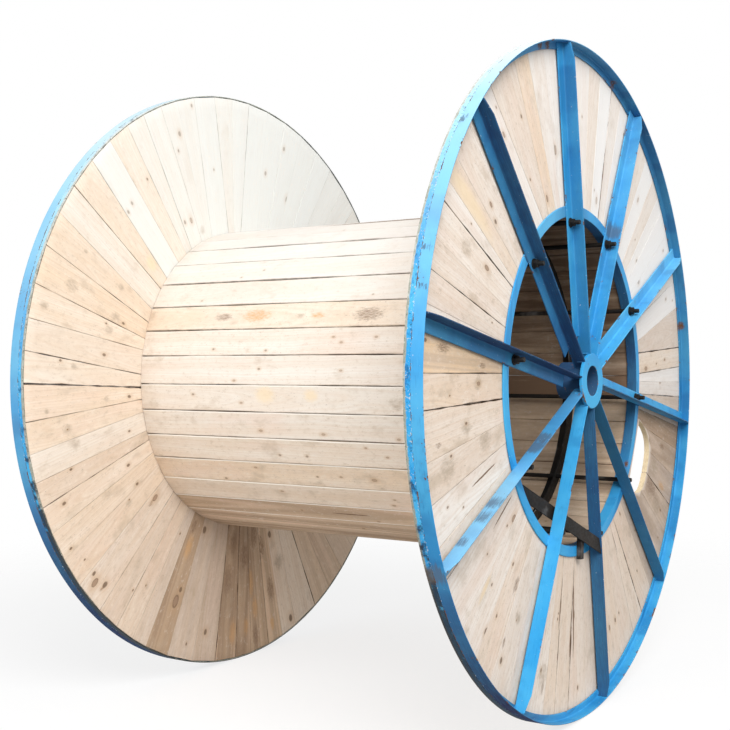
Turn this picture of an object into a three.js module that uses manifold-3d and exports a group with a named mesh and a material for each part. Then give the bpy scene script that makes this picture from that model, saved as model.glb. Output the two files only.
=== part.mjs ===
// A cable drum 2.5 m across: steel rims, spokes and hubs carry radial pine boards and a staved barrel.
// Millimetres, +Z up. The drum stands on its two rims and its axis runs along X.
import * as THREE from "three";
import { mergeGeometries, mergeVertices } from "three/addons/utils/BufferGeometryUtils.js";
import Module from "manifold-3d";

const wasm = await Module();
wasm.setup();

// Overall sizes
const flangeRadius = 1250;
const overRims = 1720; // from one rim's outer edge to the other's
const fitGap = 0.3; // clearance between pieces that touch

// Rolled steel angle, used for rims, rings, spokes and hoops
const steelThickness = 5;
const rimTread = 42; // rim's leg that the drum rolls on
const rimFace = 30; // rim's leg over the board ends
const ringFace = 40; // inner ring's leg over the boards
const ringHoop = 40; // inner ring's leg that the boards and staves rest on
const ringInnerRadius = 618;
const spokeFace = 50; // spoke's leg that lies on the rim and the ring
const spokeStand = 50; // spoke's leg that stands out
const hoopAxial = 50;
const hoopRadial = 50;
const hoopDepth = 345; // from the rim's outer edge to the middle of a support hoop
const stripThickness = 5; // flat hoop round the board ends

// Timber
const boardThickness = 24;
const boardCount = 60;
const boardGap = 2.5;
const boardGapDepth = 4;
const staveThickness = 32;
const staveCount = 40;
const staveGap = 3;
const staveGapDepth = 6;
const staveTurn = 1; // degrees from +Y to a joint between two staves

// Cable hole through the boards of the near flange, sawn beside the ring: straight sides and round corners
const holeAngle = -27.3;
const holeHalfWidth = 152;
const holeHeight = 185;
const holeAboveRing = 22;
const holeSquareness = 3; // 2 is half an ellipse, and more is squarer
const holeSteps = 16;

// Hub
const boreRadius = 56.5;
const hubDiscRadius = 103.5;
const hubDiscThickness = 12;
const hubSleeveRadius = 70;
const hubSleeveLength = 120;

// Spokes
const spokeCount = 10;
const spokeTurn = 25.9; // degrees from +Y to the first spoke
const spokeFaceStart = 171; // radius where the lying leg is cut off
const spokeTipCut = 13; // how far the standing leg is cut down at the rim
const spokeTipLength = 62;

// Tie rods, through the lying legs of both flanges' spokes
const rodRadius = 9;
const rodOffset = 25; // from the back of the standing leg
const rodInsideRing = 23; // from the ring's inner edge to the circle that the rods stand on
const rodHoleClearance = 1;
const rodEnd = 40; // out of the spoke's lying leg
const nutAcrossFlats = 27;
const nutHeight = 14;
const washerRadius = 18;
const washerThickness = 4;
const hoopHoleClearance = 3;

// Loose brace across the near ring, a piece of angle that is wedged behind one spoke
const braceLeg = 50;
const braceLeft = { fromRing: 52, angle: -143.7, depth: 88 }; // inwards from the ring, back from the rim
const braceRight = { fromRing: 11, angle: -82.2, depth: -5 };
const braceCope = 62; // length of the inward leg cut away at the right end
const braceSpoke = 7; // counted from the first spoke, the one that the brace butts on
const cleatWidth = 26;
const cleatGrip = 19; // how far the cleat reaches under the brace
const cleatThickness = 4;
const cleatAngle = -92.5;
const cleatPastRing = 10;

// Facets round each circle. Four divides the rim's, so that a facet lies flat on the floor.
const rimSegments = 72;
const ringSegments = 48;
const hubSegments = 36;
const rodSegments = 8;

// Planes, measured along a flange's outward axis from the middle of the drum
const rimPlane = overRims / 2;
const steelFacePlane = rimPlane - rimTread + steelThickness;
const boardOuterPlane = rimPlane - rimTread - fitGap;
const boardInnerPlane = boardOuterPlane - boardThickness;
const staveEndPlane = boardInnerPlane - fitGap;
const spokeBackPlane = steelFacePlane + fitGap;
const spokeFacePlane = spokeBackPlane + steelThickness;
const hubPlane = spokeBackPlane + spokeStand;
const hubDiscBackPlane = hubPlane - hubDiscThickness;

// Radii that follow from the ones above
const treadInnerRadius = flangeRadius - steelThickness;
const boardOuterRadius = flangeRadius - stripThickness - fitGap;
const ringSeatRadius = ringInnerRadius + steelThickness;
const ringOuterRadius = ringInnerRadius + ringFace;
const boardInnerRadius = ringSeatRadius + fitGap;
const staveInnerRadius = ringSeatRadius + fitGap;
const staveOuterRadius = staveInnerRadius + staveThickness;
const spokeEndRadius = treadInnerRadius - 2;
const rodCircle = ringInnerRadius - rodInsideRing;
const rodAngleOffset = THREE.MathUtils.radToDeg(Math.asin(rodOffset / rodCircle));

const paint = steel("spoke_blue", 0x2f8fd6, 0.5, 0.35);
const bareSteel = steel("bare_steel", 0x3a332d, 0.65, 0.7);
const wornSteel = steel("worn_steel", 0x6f6a5e, 0.7, 0.6);
const pine = steel("pine", 0xd9c3a0, 0.85, 0);
const stavePine = steel("stave_pine", 0xcdb48f, 0.85, 0);

const drum = new THREE.Group();
const nearFlange = new THREE.Group();
const farFlange = new THREE.Group();
drum.add(nearFlange, farFlange);

function steel(name, colour, roughness, metalness) {
  return new THREE.MeshStandardMaterial({ name, color: colour, roughness, metalness });
}

function apothemToRadius(apothem, segments) {
  return apothem / Math.cos(Math.PI / segments);
}

function degrees(angle) {
  return THREE.MathUtils.degToRad(angle);
}

// A closed three.js geometry as a manifold solid.
function solid(geometry) {
  const bare = geometry.clone();
  bare.deleteAttribute("normal");
  bare.deleteAttribute("uv");
  const merged = mergeVertices(bare, 1e-3);
  const mesh = new wasm.Mesh({
    numProp: 3,
    vertProperties: merged.attributes.position.array,
    triVerts: new Uint32Array(merged.index.array),
  });
  return new wasm.Manifold(mesh);
}

function geometryOf(made) {
  const mesh = made.getMesh();
  const geometry = new THREE.BufferGeometry();
  geometry.setAttribute("position", new THREE.BufferAttribute(mesh.vertProperties, 3));
  geometry.setIndex(new THREE.BufferAttribute(mesh.triVerts, 1));
  geometry.computeVertexNormals();
  return geometry;
}

function place(parent, name, geometry, material) {
  const mesh = new THREE.Mesh(geometry, material);
  mesh.name = name;
  parent.add(mesh);
}

// Turns a closed outline of [radius, height] round the Z axis, with a facet square to each of X and Y.
// The outline runs anticlockwise, and its radii are to the corners of the facets.
function turned(outline, segments) {
  const points = outline.map(([radius, height]) => new THREE.Vector2(radius, height));
  points.push(points[0].clone());
  const lathe = new THREE.LatheGeometry(points, segments);
  lathe.rotateX(Math.PI / 2);
  lathe.rotateZ(Math.PI / segments);
  return lathe;
}

// The same with the radii to the middles of the facets.
function turnedToFlats(outline, segments) {
  const corners = outline.map(([radius, height]) => [apothemToRadius(radius, segments), height]);
  return turned(corners, segments);
}

function outlineOf(points) {
  return new THREE.Shape(points.map(([x, y]) => new THREE.Vector2(x, y)));
}

function extruded(shape, length) {
  return new THREE.ExtrudeGeometry(shape, { depth: length, bevelEnabled: false, curveSegments: 4 });
}

// Box given by its least and greatest corners.
function boxBetween(low, high) {
  const size = high.map((value, axis) => value - low[axis]);
  const box = new THREE.BoxGeometry(...size);
  box.translate(...low.map((value, axis) => value + size[axis] / 2));
  return box;
}

// The rim is an angle bent leg out: its tread faces away from the axis and its face laps the board ends.
function rim() {
  const back = rimPlane - rimTread;
  const faceRadius = flangeRadius - rimFace;
  return turnedToFlats(
    [
      [faceRadius, back],
      [flangeRadius, back],
      [flangeRadius, rimPlane],
      [treadInnerRadius, rimPlane],
      [treadInnerRadius, steelFacePlane],
      [faceRadius, steelFacePlane],
    ],
    rimSegments,
  );
}

// A flat hoop closes the board ends beside the rim's tread.
function edgeStrip() {
  return turnedToFlats(
    [
      [flangeRadius - stripThickness, boardInnerPlane],
      [flangeRadius, boardInnerPlane],
      [flangeRadius, boardOuterPlane],
      [flangeRadius - stripThickness, boardOuterPlane],
    ],
    rimSegments,
  );
}

// The inner ring is an angle bent leg out: its face laps the boards and its hoop carries boards and staves.
function innerRing() {
  const faceBack = steelFacePlane - steelThickness;
  return turned(
    [
      [ringInnerRadius, steelFacePlane - ringHoop],
      [ringSeatRadius, steelFacePlane - ringHoop],
      [ringSeatRadius, faceBack],
      [ringOuterRadius, faceBack],
      [ringOuterRadius, steelFacePlane],
      [ringInnerRadius, steelFacePlane],
    ],
    ringSegments,
  );
}

function hub() {
  return turned(
    [
      [boreRadius, hubPlane - hubSleeveLength],
      [hubSleeveRadius, hubPlane - hubSleeveLength],
      [hubSleeveRadius, hubDiscBackPlane],
      [hubDiscRadius, hubDiscBackPlane],
      [hubDiscRadius, hubPlane],
      [boreRadius, hubPlane],
    ],
    hubSegments,
  );
}

// Lays an extruded section along X, with the section's own x up.
const outwardAlongX = new THREE.Matrix4().makeBasis(
  new THREE.Vector3(0, 0, 1),
  new THREE.Vector3(0, -1, 0),
  new THREE.Vector3(1, 0, 0),
);

// The joints between the boards of one flange: a narrow V along each, in both faces.
function boardJoints() {
  const bars = [];
  const inner = boardInnerRadius - ringHoop;
  const outer = boardOuterRadius + rimFace;
  const over = boardGapDepth / 2;
  const half = (boardGap / 2) * (1 + over / boardGapDepth);
  for (let board = 0; board < boardCount; board++) {
    for (const [face, into] of [
      [boardOuterPlane, -1],
      [boardInnerPlane, 1],
    ]) {
      const notch = outlineOf([
        [face + into * boardGapDepth, 0],
        [face - into * over, into * half],
        [face - into * over, -into * half],
      ]);
      const bar = extruded(notch, outer - inner);
      bar.applyMatrix4(outwardAlongX);
      bar.translate(inner, 0, 0);
      bar.rotateZ(((board + 0.5) / boardCount) * 2 * Math.PI);
      bars.push(bar);
    }
  }
  return mergeGeometries(bars);
}

function boards() {
  const plate = turnedToFlats(
    [
      [boardInnerRadius, boardInnerPlane],
      [boardOuterRadius, boardInnerPlane],
      [boardOuterRadius, boardOuterPlane],
      [boardInnerRadius, boardOuterPlane],
    ],
    rimSegments,
  );
  return solid(plate).subtract(solid(boardJoints()));
}

// Half of a squared ellipse whose straight side is along the ring, cut right through the boards.
function cableHole() {
  const foot = ringOuterRadius + holeAboveRing;
  const squared = (share) => Math.sign(share) * Math.abs(share) ** (2 / holeSquareness);
  const points = [];
  for (let step = 0; step <= holeSteps; step++) {
    const turn = (step / holeSteps - 0.5) * Math.PI;
    const up = step % holeSteps ? squared(Math.cos(turn)) : 0;
    points.push([foot + holeHeight * up, holeHalfWidth * squared(Math.sin(turn))]);
  }
  const hole = extruded(outlineOf(points), boardThickness * 3);
  hole.translate(0, 0, boardInnerPlane - boardThickness);
  hole.rotateZ(degrees(holeAngle));
  return hole;
}

// The barrel is a ring of flat staves. The outline steps in at each joint, inside and out.
function barrelOutline(facing, towardsWood) {
  const points = [];
  const staveAngle = (2 * Math.PI) / staveCount;
  for (let stave = 0; stave < staveCount; stave++) {
    const middle = degrees(staveTurn) + (stave + 0.5) * staveAngle;
    const half = facing * Math.tan(staveAngle / 2) - staveGap / 2;
    const floor = facing + towardsWood * staveGapDepth;
    const floorHalf = floor * Math.tan(staveAngle / 2) - staveGap / 2;
    for (const [distance, across] of [
      [floor, -floorHalf],
      [facing, -half],
      [facing, half],
      [floor, floorHalf],
    ]) {
      const x = distance * Math.cos(middle) - across * Math.sin(middle);
      const y = distance * Math.sin(middle) + across * Math.cos(middle);
      points.push([x, y]);
    }
  }
  return points;
}

function barrel() {
  const shape = outlineOf(barrelOutline(staveOuterRadius, -1));
  shape.holes.push(outlineOf(barrelOutline(staveInnerRadius, 1)));
  const staves = extruded(shape, 2 * staveEndPlane);
  staves.translate(0, 0, -staveEndPlane);
  return staves;
}

// One spoke along +X: the standing leg's back lies on the radius, and the lying leg is on its +Y side.
function spoke() {
  const top = hubPlane;
  const rootCut = hubDiscBackPlane - fitGap;
  const standing = extruded(
    outlineOf([
      [hubSleeveRadius + fitGap, spokeBackPlane],
      [spokeEndRadius, spokeBackPlane],
      [spokeEndRadius, top - spokeTipCut],
      [spokeEndRadius - spokeTipLength, top],
      [hubDiscRadius + fitGap, top],
      [hubDiscRadius + fitGap, rootCut],
      [hubSleeveRadius + fitGap, rootCut],
    ]),
    steelThickness,
  );
  standing.rotateX(Math.PI / 2);
  standing.translate(0, steelThickness, 0);
  const lying = boxBetween(
    [spokeFaceStart, 0, spokeBackPlane],
    [spokeEndRadius, spokeFace, spokeFacePlane],
  );
  return solid(standing).add(solid(lying)).subtract(solid(rodHole()));
}

function rodHole() {
  const hole = cylinder(rodRadius + rodHoleClearance, spokeBackPlane - 1, spokeFacePlane + 1);
  hole.translate(rodCircle * Math.cos(degrees(rodAngleOffset)), rodOffset, 0);
  return hole;
}

// Upright cylinder between two heights.
function cylinder(radius, low, high, segments = rodSegments) {
  const made = new THREE.CylinderGeometry(radius, radius, high - low, segments);
  made.rotateX(Math.PI / 2);
  made.translate(0, 0, (low + high) / 2);
  return made;
}

// A tie rod with its washers and nuts, drawn on the drum's own axis direction.
function tieRod() {
  const seat = spokeFacePlane + fitGap;
  const nutSeat = seat + washerThickness;
  const end = spokeFacePlane + rodEnd;
  let made = solid(cylinder(rodRadius, -end, end));
  for (const side of [-1, 1]) {
    const washer = cylinder(washerRadius, seat, nutSeat);
    const nut = cylinder(apothemToRadius(nutAcrossFlats / 2, 6), nutSeat - 0.5, nutSeat + nutHeight, 6);
    for (const piece of [washer, nut]) {
      if (side < 0) piece.rotateX(Math.PI);
      made = made.add(solid(piece));
    }
  }
  return made;
}

// Angle hoop inside the barrel: its axial leg backs the staves and its other leg points at the axis.
function supportHoop(flangeTurn) {
  const outer = ringSeatRadius;
  const inner = outer - hoopRadial;
  const middle = rimPlane - hoopDepth;
  const low = middle - hoopAxial / 2;
  const high = middle + hoopAxial / 2;
  const hoop = turned(
    [
      [inner, high - steelThickness],
      [outer - steelThickness, high - steelThickness],
      [outer - steelThickness, low],
      [outer, low],
      [outer, high],
      [inner, high],
    ],
    ringSegments,
  );
  let made = solid(hoop);
  for (const angle of rodAngles()) {
    const hole = cylinder(rodRadius + hoopHoleClearance, low, high + 1);
    hole.translate(rodCircle, 0, 0);
    hole.rotateZ(degrees(angle + flangeTurn));
    made = made.subtract(solid(hole));
  }
  return made;
}

function rodAngles() {
  const angles = [];
  for (let index = 0; index < spokeCount; index++) {
    angles.push(spokeTurn + rodAngleOffset + (index * 360) / spokeCount);
  }
  return angles;
}

function spokeAngle(index) {
  return spokeTurn + (index * 360) / spokeCount;
}

// An end of the brace, by its distance inside the ring, its angle and its depth behind the outer rim edge.
function braceEnd({ fromRing, angle, depth }) {
  const radius = ringInnerRadius - fromRing;
  const turn = degrees(angle);
  return new THREE.Vector3(radius * Math.cos(turn), radius * Math.sin(turn), rimPlane - depth);
}

// The slanting line that the brace's corner follows, and the ways that its two legs point from it.
function braceLine() {
  const left = braceEnd(braceLeft);
  const right = braceEnd(braceRight);
  const along = right.clone().sub(left).normalize();
  const inward = new THREE.Vector3(0, 0, -1);
  inward.addScaledVector(along, -inward.dot(along)).normalize();
  const outward = new THREE.Vector3().crossVectors(inward, along);
  return { left, along, inward, outward, length: left.distanceTo(right) };
}

// The brace is a length of angle along its line. It stays inside the ring or in front of its face.
function brace() {
  const { left, along, inward, outward, length } = braceLine();
  const spare = braceLeg;
  const angleBar = extruded(
    outlineOf([
      [0, 0],
      [braceLeg, 0],
      [braceLeg, steelThickness],
      [steelThickness, steelThickness],
      [steelThickness, braceLeg],
      [0, braceLeg],
    ]),
    length + spare,
  );
  const cope = boxBetween(
    [-1, steelThickness, length - braceCope],
    [braceLeg, braceLeg + 1, length + 2 * spare],
  );
  const turn = new THREE.Matrix4().makeBasis(outward, inward, along).setPosition(left);
  for (const piece of [angleBar, cope]) piece.applyMatrix4(turn);
  const beyondSpoke = boxBetween([0, -fitGap, 0], [flangeRadius, flangeRadius, overRims]);
  beyondSpoke.rotateZ(degrees(spokeAngle(braceSpoke)));
  const insideRing = cylinder(ringInnerRadius - 3 * fitGap, 0, overRims, rimSegments);
  const frontOfRing = boxBetween(
    [-flangeRadius, -flangeRadius, steelFacePlane + fitGap],
    [flangeRadius, flangeRadius, overRims],
  );
  const room = solid(insideRing).add(solid(frontOfRing)).subtract(solid(beyondSpoke));
  return solid(angleBar).subtract(solid(cope)).intersect(room);
}

// A short angle on the face of the ring, under the brace. Its top follows from the underside of the brace.
function cleat() {
  const { left, inward, outward } = braceLine();
  const turn = degrees(cleatAngle);
  const ray = new THREE.Vector3(Math.cos(turn), Math.sin(turn), 0);
  const aside = new THREE.Vector3(-ray.y, ray.x, 0);
  const braceEdge = (left.dot(outward) + braceLeg) / ray.dot(outward);
  const inner = braceEdge - cleatGrip;
  const outer = ringOuterRadius + cleatPastRing;
  const undersideAt = (radius, sideways) => {
    const offset = ray.clone().multiplyScalar(radius).addScaledVector(aside, sideways).sub(left);
    return (steelThickness - offset.x * inward.x - offset.y * inward.y) / inward.z + left.z;
  };
  const half = cleatWidth / 2;
  const low = steelFacePlane + fitGap;
  const high = Math.min(undersideAt(inner, -half), undersideAt(inner, half)) - fitGap;
  const side = boxBetween([inner, -half, low], [outer, cleatThickness - half, high]);
  const face = boxBetween([inner, -half, high - cleatThickness], [outer, half, high]);
  return geometryOf(solid(side).add(solid(face))).rotateZ(turn);
}

function buildFlange(side, flange, boardSolid, flangeTurn) {
  place(flange, side + "_rim", rim(), paint);
  place(flange, side + "_edge_strip", edgeStrip(), wornSteel);
  place(flange, side + "_ring", innerRing(), paint);
  place(flange, side + "_hub", hub(), paint);
  place(flange, side + "_boards", geometryOf(boardSolid), pine);
  place(flange, side + "_support_hoop", geometryOf(supportHoop(flangeTurn)), bareSteel);
  const spokeShape = geometryOf(spoke());
  for (let index = 0; index < spokeCount; index++) {
    const spokePlaced = spokeShape.clone().rotateZ(degrees(spokeAngle(index) + flangeTurn));
    place(flange, side + "_spoke_" + (index + 1), spokePlaced, paint);
  }
}

// The far flange is the same part turned round, with its spokes moved on until the rods line up.
const farTurn = 180 - 2 * (spokeTurn + rodAngleOffset);
buildFlange("near", nearFlange, boards().subtract(solid(cableHole())), 0);
buildFlange("far", farFlange, boards(), farTurn);
farFlange.rotateY(Math.PI);

place(drum, "barrel_staves", barrel(), stavePine);
const rodShape = geometryOf(tieRod()).translate(rodCircle, 0, 0);
rodAngles().forEach((angle, index) => {
  place(drum, "tie_rod_" + (index + 1), rodShape.clone().rotateZ(degrees(angle)), bareSteel);
});
place(drum, "brace", geometryOf(brace()), bareSteel);
place(drum, "brace_cleat", cleat(), wornSteel);

// The drum's own axis is X, and the lowest facets of its rims stand on the floor at Z = 0.
const axes = new THREE.Matrix4().makeBasis(
  new THREE.Vector3(0, 1, 0),
  new THREE.Vector3(0, 0, 1),
  new THREE.Vector3(1, 0, 0),
);
drum.quaternion.setFromRotationMatrix(axes);
drum.position.z = flangeRadius;

export default drum;
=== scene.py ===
import bpy
import bmesh
import numpy as np
from mathutils import Matrix, Vector


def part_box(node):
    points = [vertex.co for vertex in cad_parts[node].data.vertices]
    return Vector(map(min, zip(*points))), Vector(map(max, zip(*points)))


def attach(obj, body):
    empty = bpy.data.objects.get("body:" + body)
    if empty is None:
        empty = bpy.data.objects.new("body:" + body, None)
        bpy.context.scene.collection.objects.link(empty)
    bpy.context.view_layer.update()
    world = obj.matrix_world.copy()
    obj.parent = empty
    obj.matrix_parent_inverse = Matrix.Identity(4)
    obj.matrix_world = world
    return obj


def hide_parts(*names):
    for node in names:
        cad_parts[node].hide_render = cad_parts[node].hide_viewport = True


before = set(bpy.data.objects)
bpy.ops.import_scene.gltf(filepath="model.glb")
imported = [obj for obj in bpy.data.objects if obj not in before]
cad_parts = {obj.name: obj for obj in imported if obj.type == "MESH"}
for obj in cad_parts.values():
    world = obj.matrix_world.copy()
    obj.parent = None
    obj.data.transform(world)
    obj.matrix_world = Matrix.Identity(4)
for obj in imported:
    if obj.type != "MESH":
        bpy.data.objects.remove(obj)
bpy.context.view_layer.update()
near, far = 1, -1
sideNames = {near: "near", far: "far"}
print("frame loaded")

# The frame gives the planes along the axis; the radii are the drum's own sizes in metres.
drum = {
    "radius": (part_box("near_rim")[1].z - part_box("near_rim")[0].z) / 2,
    "rimOuter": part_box("near_rim")[1].x,
    "rimBack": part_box("near_rim")[0].x,
    "boardOuter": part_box("near_boards")[1].x,
    "boardInner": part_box("near_boards")[0].x,
    "staveEnd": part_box("barrel_staves")[1].x,
    "spokeBack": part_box("near_spoke_1")[0].x,
    "hubFace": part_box("near_hub")[1].x,
    "sleeveEnd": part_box("near_hub")[0].x,
    "hoopLow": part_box("near_support_hoop")[0].x,
    "hoopHigh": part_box("near_support_hoop")[1].x,
    "ringInner": 0.618,
    "steel": 0.005,
}
drum["height"] = drum["radius"]  # the axis is one radius above the floor


# Arrays brought to one shape and set side by side as the coordinates of points.
def joined(*parts):
    return np.stack(np.broadcast_arrays(*parts), -1)


# A point (x, y, z) of a flange, z outward along the axis, goes to (side z, side x, y + height).
def toDrum(points, side):
    x, y, z = np.moveaxis(np.asarray(points, float), -1, 0)
    return joined(side * z, side * x, y + drum["height"])


# Turned about the axis by a degrees: (x cos a - y sin a, x sin a + y cos a, z).
def turnAboutAxis(points, angle):
    x, y, z = np.moveaxis(np.asarray(points, float), -1, 0)
    c, s = np.cos(np.radians(angle)), np.sin(np.radians(angle))
    return joined(x * c - y * s, x * s + y * c, z)


# The place (r cos a, r sin a, z) on a flange, for a in degrees.
def polar(radius, angle, z=0.0):
    a = np.radians(angle)
    return joined(radius * np.cos(a), radius * np.sin(a), z)


# The place on the drum x along its axis: (x, r cos a, r sin a + height), for a in degrees.
def onDrum(x, radius, angle):
    a = np.radians(angle)
    return x, radius * np.cos(a), radius * np.sin(a) + drum["height"]


# Whether an angle is less than half a width away from the middle, all in degrees.
def within(angle, middle, half):
    return abs((angle - middle + 180) % 360 - 180) < half


# A table's value at an angle, in a straight line between its degrees.
def byAngle(table, angle):
    return np.interp(angle % 360, *table)


# Quads between the neighbours of a grid whose columns close, with flat ends unless its rows close too.
def gridFaces(rows, columns, closeRows, start):
    r, c = np.meshgrid(np.arange(rows if closeRows else rows - 1), np.arange(columns), indexing="ij")
    nextR, nextC = (r + 1) % rows, (c + 1) % columns
    corners = [r * columns + c, nextR * columns + c, nextR * columns + nextC, r * columns + nextC]
    faces = (np.stack(corners, -1).reshape(-1, 4) + start).tolist()
    if not closeRows:
        last = start + (rows - 1) * columns
        faces.append(list(range(start, start + columns)))
        faces.append(list(range(last + columns - 1, last - 1, -1)))
    return faces


# Closed shells gathered into one mesh, each a grid of points with its values at those points.
class Shells:
    def __init__(self):
        self.points, self.faces, self.grain, self.values, self.count = [], [], [], {}, 0

    def add(self, grid, closeRows=False, grain=None, **values):
        rows, columns = grid.shape[:2]
        self.faces += gridFaces(rows, columns, closeRows, self.count)
        self.points.append(grid.reshape(-1, 3))
        if grain is not None:
            self.grain.append(grain.reshape(-1, 2))
        for key, value in values.items():
            value = np.asarray(value, float)
            shape = (rows, columns, 3) if value.shape == (3,) else (rows, columns)
            full = np.broadcast_to(value, shape)
            self.values.setdefault(key, []).append(full.reshape(rows * columns, -1))
        self.count += rows * columns

    def mesh(self, name, material):
        mesh = bpy.data.meshes.new(name)
        mesh.from_pydata(np.concatenate(self.points).tolist(), [], self.faces)
        for key, parts in self.values.items():
            flat = np.concatenate(parts).astype(np.float32)
            kind, field = ("FLOAT_VECTOR", "vector") if flat.shape[1] == 3 else ("FLOAT", "value")
            mesh.attributes.new(key, kind, "POINT").data.foreach_set(field, flat.ravel())
        if self.grain:
            corners = np.empty(len(mesh.loops), np.int32)
            mesh.loops.foreach_get("vertex_index", corners)
            layer = mesh.uv_layers.new(name="grain")
            layer.data.foreach_set("uv", np.concatenate(self.grain)[corners].astype(np.float32).ravel())
        tool = bmesh.new()
        tool.from_mesh(mesh)
        bmesh.ops.remove_doubles(tool, verts=tool.verts, dist=1e-7)
        bmesh.ops.recalc_face_normals(tool, faces=tool.faces)
        tool.to_mesh(mesh)
        tool.free()
        mesh.materials.append(material)
        return mesh

    def build(self, name, material, nodes=(), sharpest=38):
        mesh = self.mesh(name, material)
        mesh.shade_smooth()
        mesh.set_sharp_from_angle(angle=np.radians(sharpest))
        return keep(name, mesh, nodes)


# Makes an object of a mesh, light or lens and links it to the scene.
def intoScene(name, data):
    made = bpy.data.objects.new(name, data)
    bpy.context.scene.collection.objects.link(made)
    return made


# A piece that rides on the root, and hides the parts that it stands for.
def keep(name, mesh, nodes=()):
    piece = intoScene(name, mesh)
    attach(piece, "root")
    if nodes:
        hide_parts(*nodes)
    return piece


# Rounds the corners of a closed outline: an arc's centre is on the corner's bisector,
# radius / sin(half the corner) away. Gives the points and a value that is each corner's wear on its arc.
def roundedOutline(corners, radii, wears, steps=4, wearWidth=0.003):
    corners = np.asarray(corners, float)
    arcs, values = [], []
    for index, here in enumerate(corners):
        toLast = corners[index - 1] - here
        toNext = corners[(index + 1) % len(corners)] - here
        toLast /= np.linalg.norm(toLast)
        toNext /= np.linalg.norm(toNext)
        half = np.arccos(np.clip(toLast @ toNext, -1, 1)) / 2
        bisector = (toLast + toNext) / np.linalg.norm(toLast + toNext)
        middle = here + bisector * radii[index] / np.sin(half)
        reach = radii[index] / np.tan(half)
        share = np.linspace(0, 1, steps + 1)[:, None]
        bow = (here + toLast * reach - middle) * (1 - share) + (here + toNext * reach - middle) * share
        arcs.append(middle + bow * radii[index] / np.linalg.norm(bow, axis=1, keepdims=True))
    points = []
    for index, arc in enumerate(arcs):
        points += list(arc)
        values += [wears[index]] * len(arc)
        gap = arcs[(index + 1) % len(arcs)][0] - arc[-1]
        if np.linalg.norm(gap) > 2.5 * wearWidth:
            inset = gap * wearWidth / np.linalg.norm(gap)
            points += [arc[-1] + inset, arc[-1] + gap - inset]
            values += [0.0, 0.0]
    return np.array(points), np.array(values)


# Sum of sines round the circle, sin(k a + phase) / (1 + 0.3 k), with phases from a seed.
def ripple(angles, height, seed, waves=(3, 5, 8, 13, 21)):
    phases = np.random.default_rng(seed).uniform(0, 2 * np.pi, len(waves))
    return height * sum(np.sin(k * angles + p) / (1 + 0.3 * k) for k, p in zip(waves, phases))


# Carries an outline of (radius, out) round the axis: (r cos a, r sin a, out), less a small ripple.
def revolved(outline, side, segments, rippleHeight=0.0, seed=0):
    angles = np.linspace(0, 2 * np.pi, segments, endpoint=False)[:, None]
    radius = outline[:, 0] - np.abs(ripple(angles, rippleHeight, seed))
    out = outline[:, 1] - np.abs(ripple(angles, rippleHeight, seed + 1))
    return toDrum(polar(radius, np.degrees(angles), out), side)


# A round bar along a path: path + r (n cos b + m sin b), with n and m square to the path.
def tube(path, radius, columns=8):
    tangent = np.gradient(path, axis=0)
    tangent /= np.linalg.norm(tangent, axis=1, keepdims=True)
    guide = np.eye(3)[np.argmin(np.abs(tangent).max(0))]
    n = np.cross(tangent, guide)
    n /= np.linalg.norm(n, axis=1, keepdims=True)
    m = np.cross(tangent, n)
    b = np.linspace(0, 2 * np.pi, columns, endpoint=False)[None, :, None]
    return path[:, None] + radius[:, None, None] * (n[:, None] * np.cos(b) + m[:, None] * np.sin(b))


# A number, vector or colour in a shader. Arithmetic on it adds maths nodes.
class Value:
    def __init__(self, socket):
        self.socket = socket

    def __add__(self, other):
        return maths("ADD", self, other)

    def __sub__(self, other):
        return maths("SUBTRACT", self, other)

    def __rsub__(self, other):
        return maths("SUBTRACT", other, self)

    def __mul__(self, other):
        return maths("MULTIPLY", self, other)

    def __truediv__(self, other):
        return maths("DIVIDE", self, other)

    def __abs__(self):
        return maths("ABSOLUTE", self)

    __radd__ = __add__
    __rmul__ = __mul__


# Links a node's inputs to values or sets them to plain numbers.
def connect(node, inputs):
    for key, value in inputs.items():
        if isinstance(value, Value):
            node.id_data.links.new(value.socket, node.inputs[key])
        else:
            node.inputs[key].default_value = value


# Adds a shader node, to the tree that its inputs come from unless one is given, and returns an output.
def put(kind, inputs, output=0, tree=None, **settings):
    if tree is None:
        tree = next(value.socket.id_data for value in inputs.values() if isinstance(value, Value))
    node = tree.nodes.new("ShaderNode" + kind)
    for key, value in settings.items():
        setattr(node, key, value)
    connect(node, inputs)
    return Value(node.outputs[output])


def maths(operation, first, second=0.0):
    return put("Math", {0: first, 1: second}, operation=operation)


# From one number to another, smoothly, while a value goes from low to high.
def fade(value, low, high, first=0.0, last=1.0):
    inputs = {"Value": value, "From Min": low, "From Max": high, "To Min": first, "To Max": last}
    return put("MapRange", inputs, interpolation_type="SMOOTHSTEP")


# first (1 - share) + second share, with the share kept between 0 and 1.
def blend(share, first, second):
    return put("Mix", {0: share, 6: first, 7: second}, 2, data_type="RGBA")


# Lays coats over a colour one after another, each a share and the name of its colour in the look.
def coated(colour, look, *coats):
    for share, name in coats:
        colour = blend(share, colour, look[name])
    return colour


def noise(where, scale, detail=3.0, roughness=0.55):
    inputs = {"Vector": where, "Scale": scale, "Detail": detail, "Roughness": roughness}
    return put("TexNoise", inputs, "Fac")


def noiseAlong(value, scale, detail):
    inputs = {"W": value, "Scale": scale, "Detail": detail, "Roughness": 0.5}
    return put("TexNoise", inputs, "Fac", noise_dimensions="1D")


# The vector of three numbers, and the three numbers of a vector.
def combined(x, y, z=0.0):
    return put("CombineXYZ", {0: x, 1: y, 2: z})


def split(vector):
    return [Value(socket) for socket in put("SeparateXYZ", {0: vector}).socket.node.outputs]


def attribute(tree, name, output="Fac"):
    return put("Attribute", {}, output, tree, attribute_name=name)


def attributes(tree, *names):
    return [attribute(tree, name) for name in names]


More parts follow.
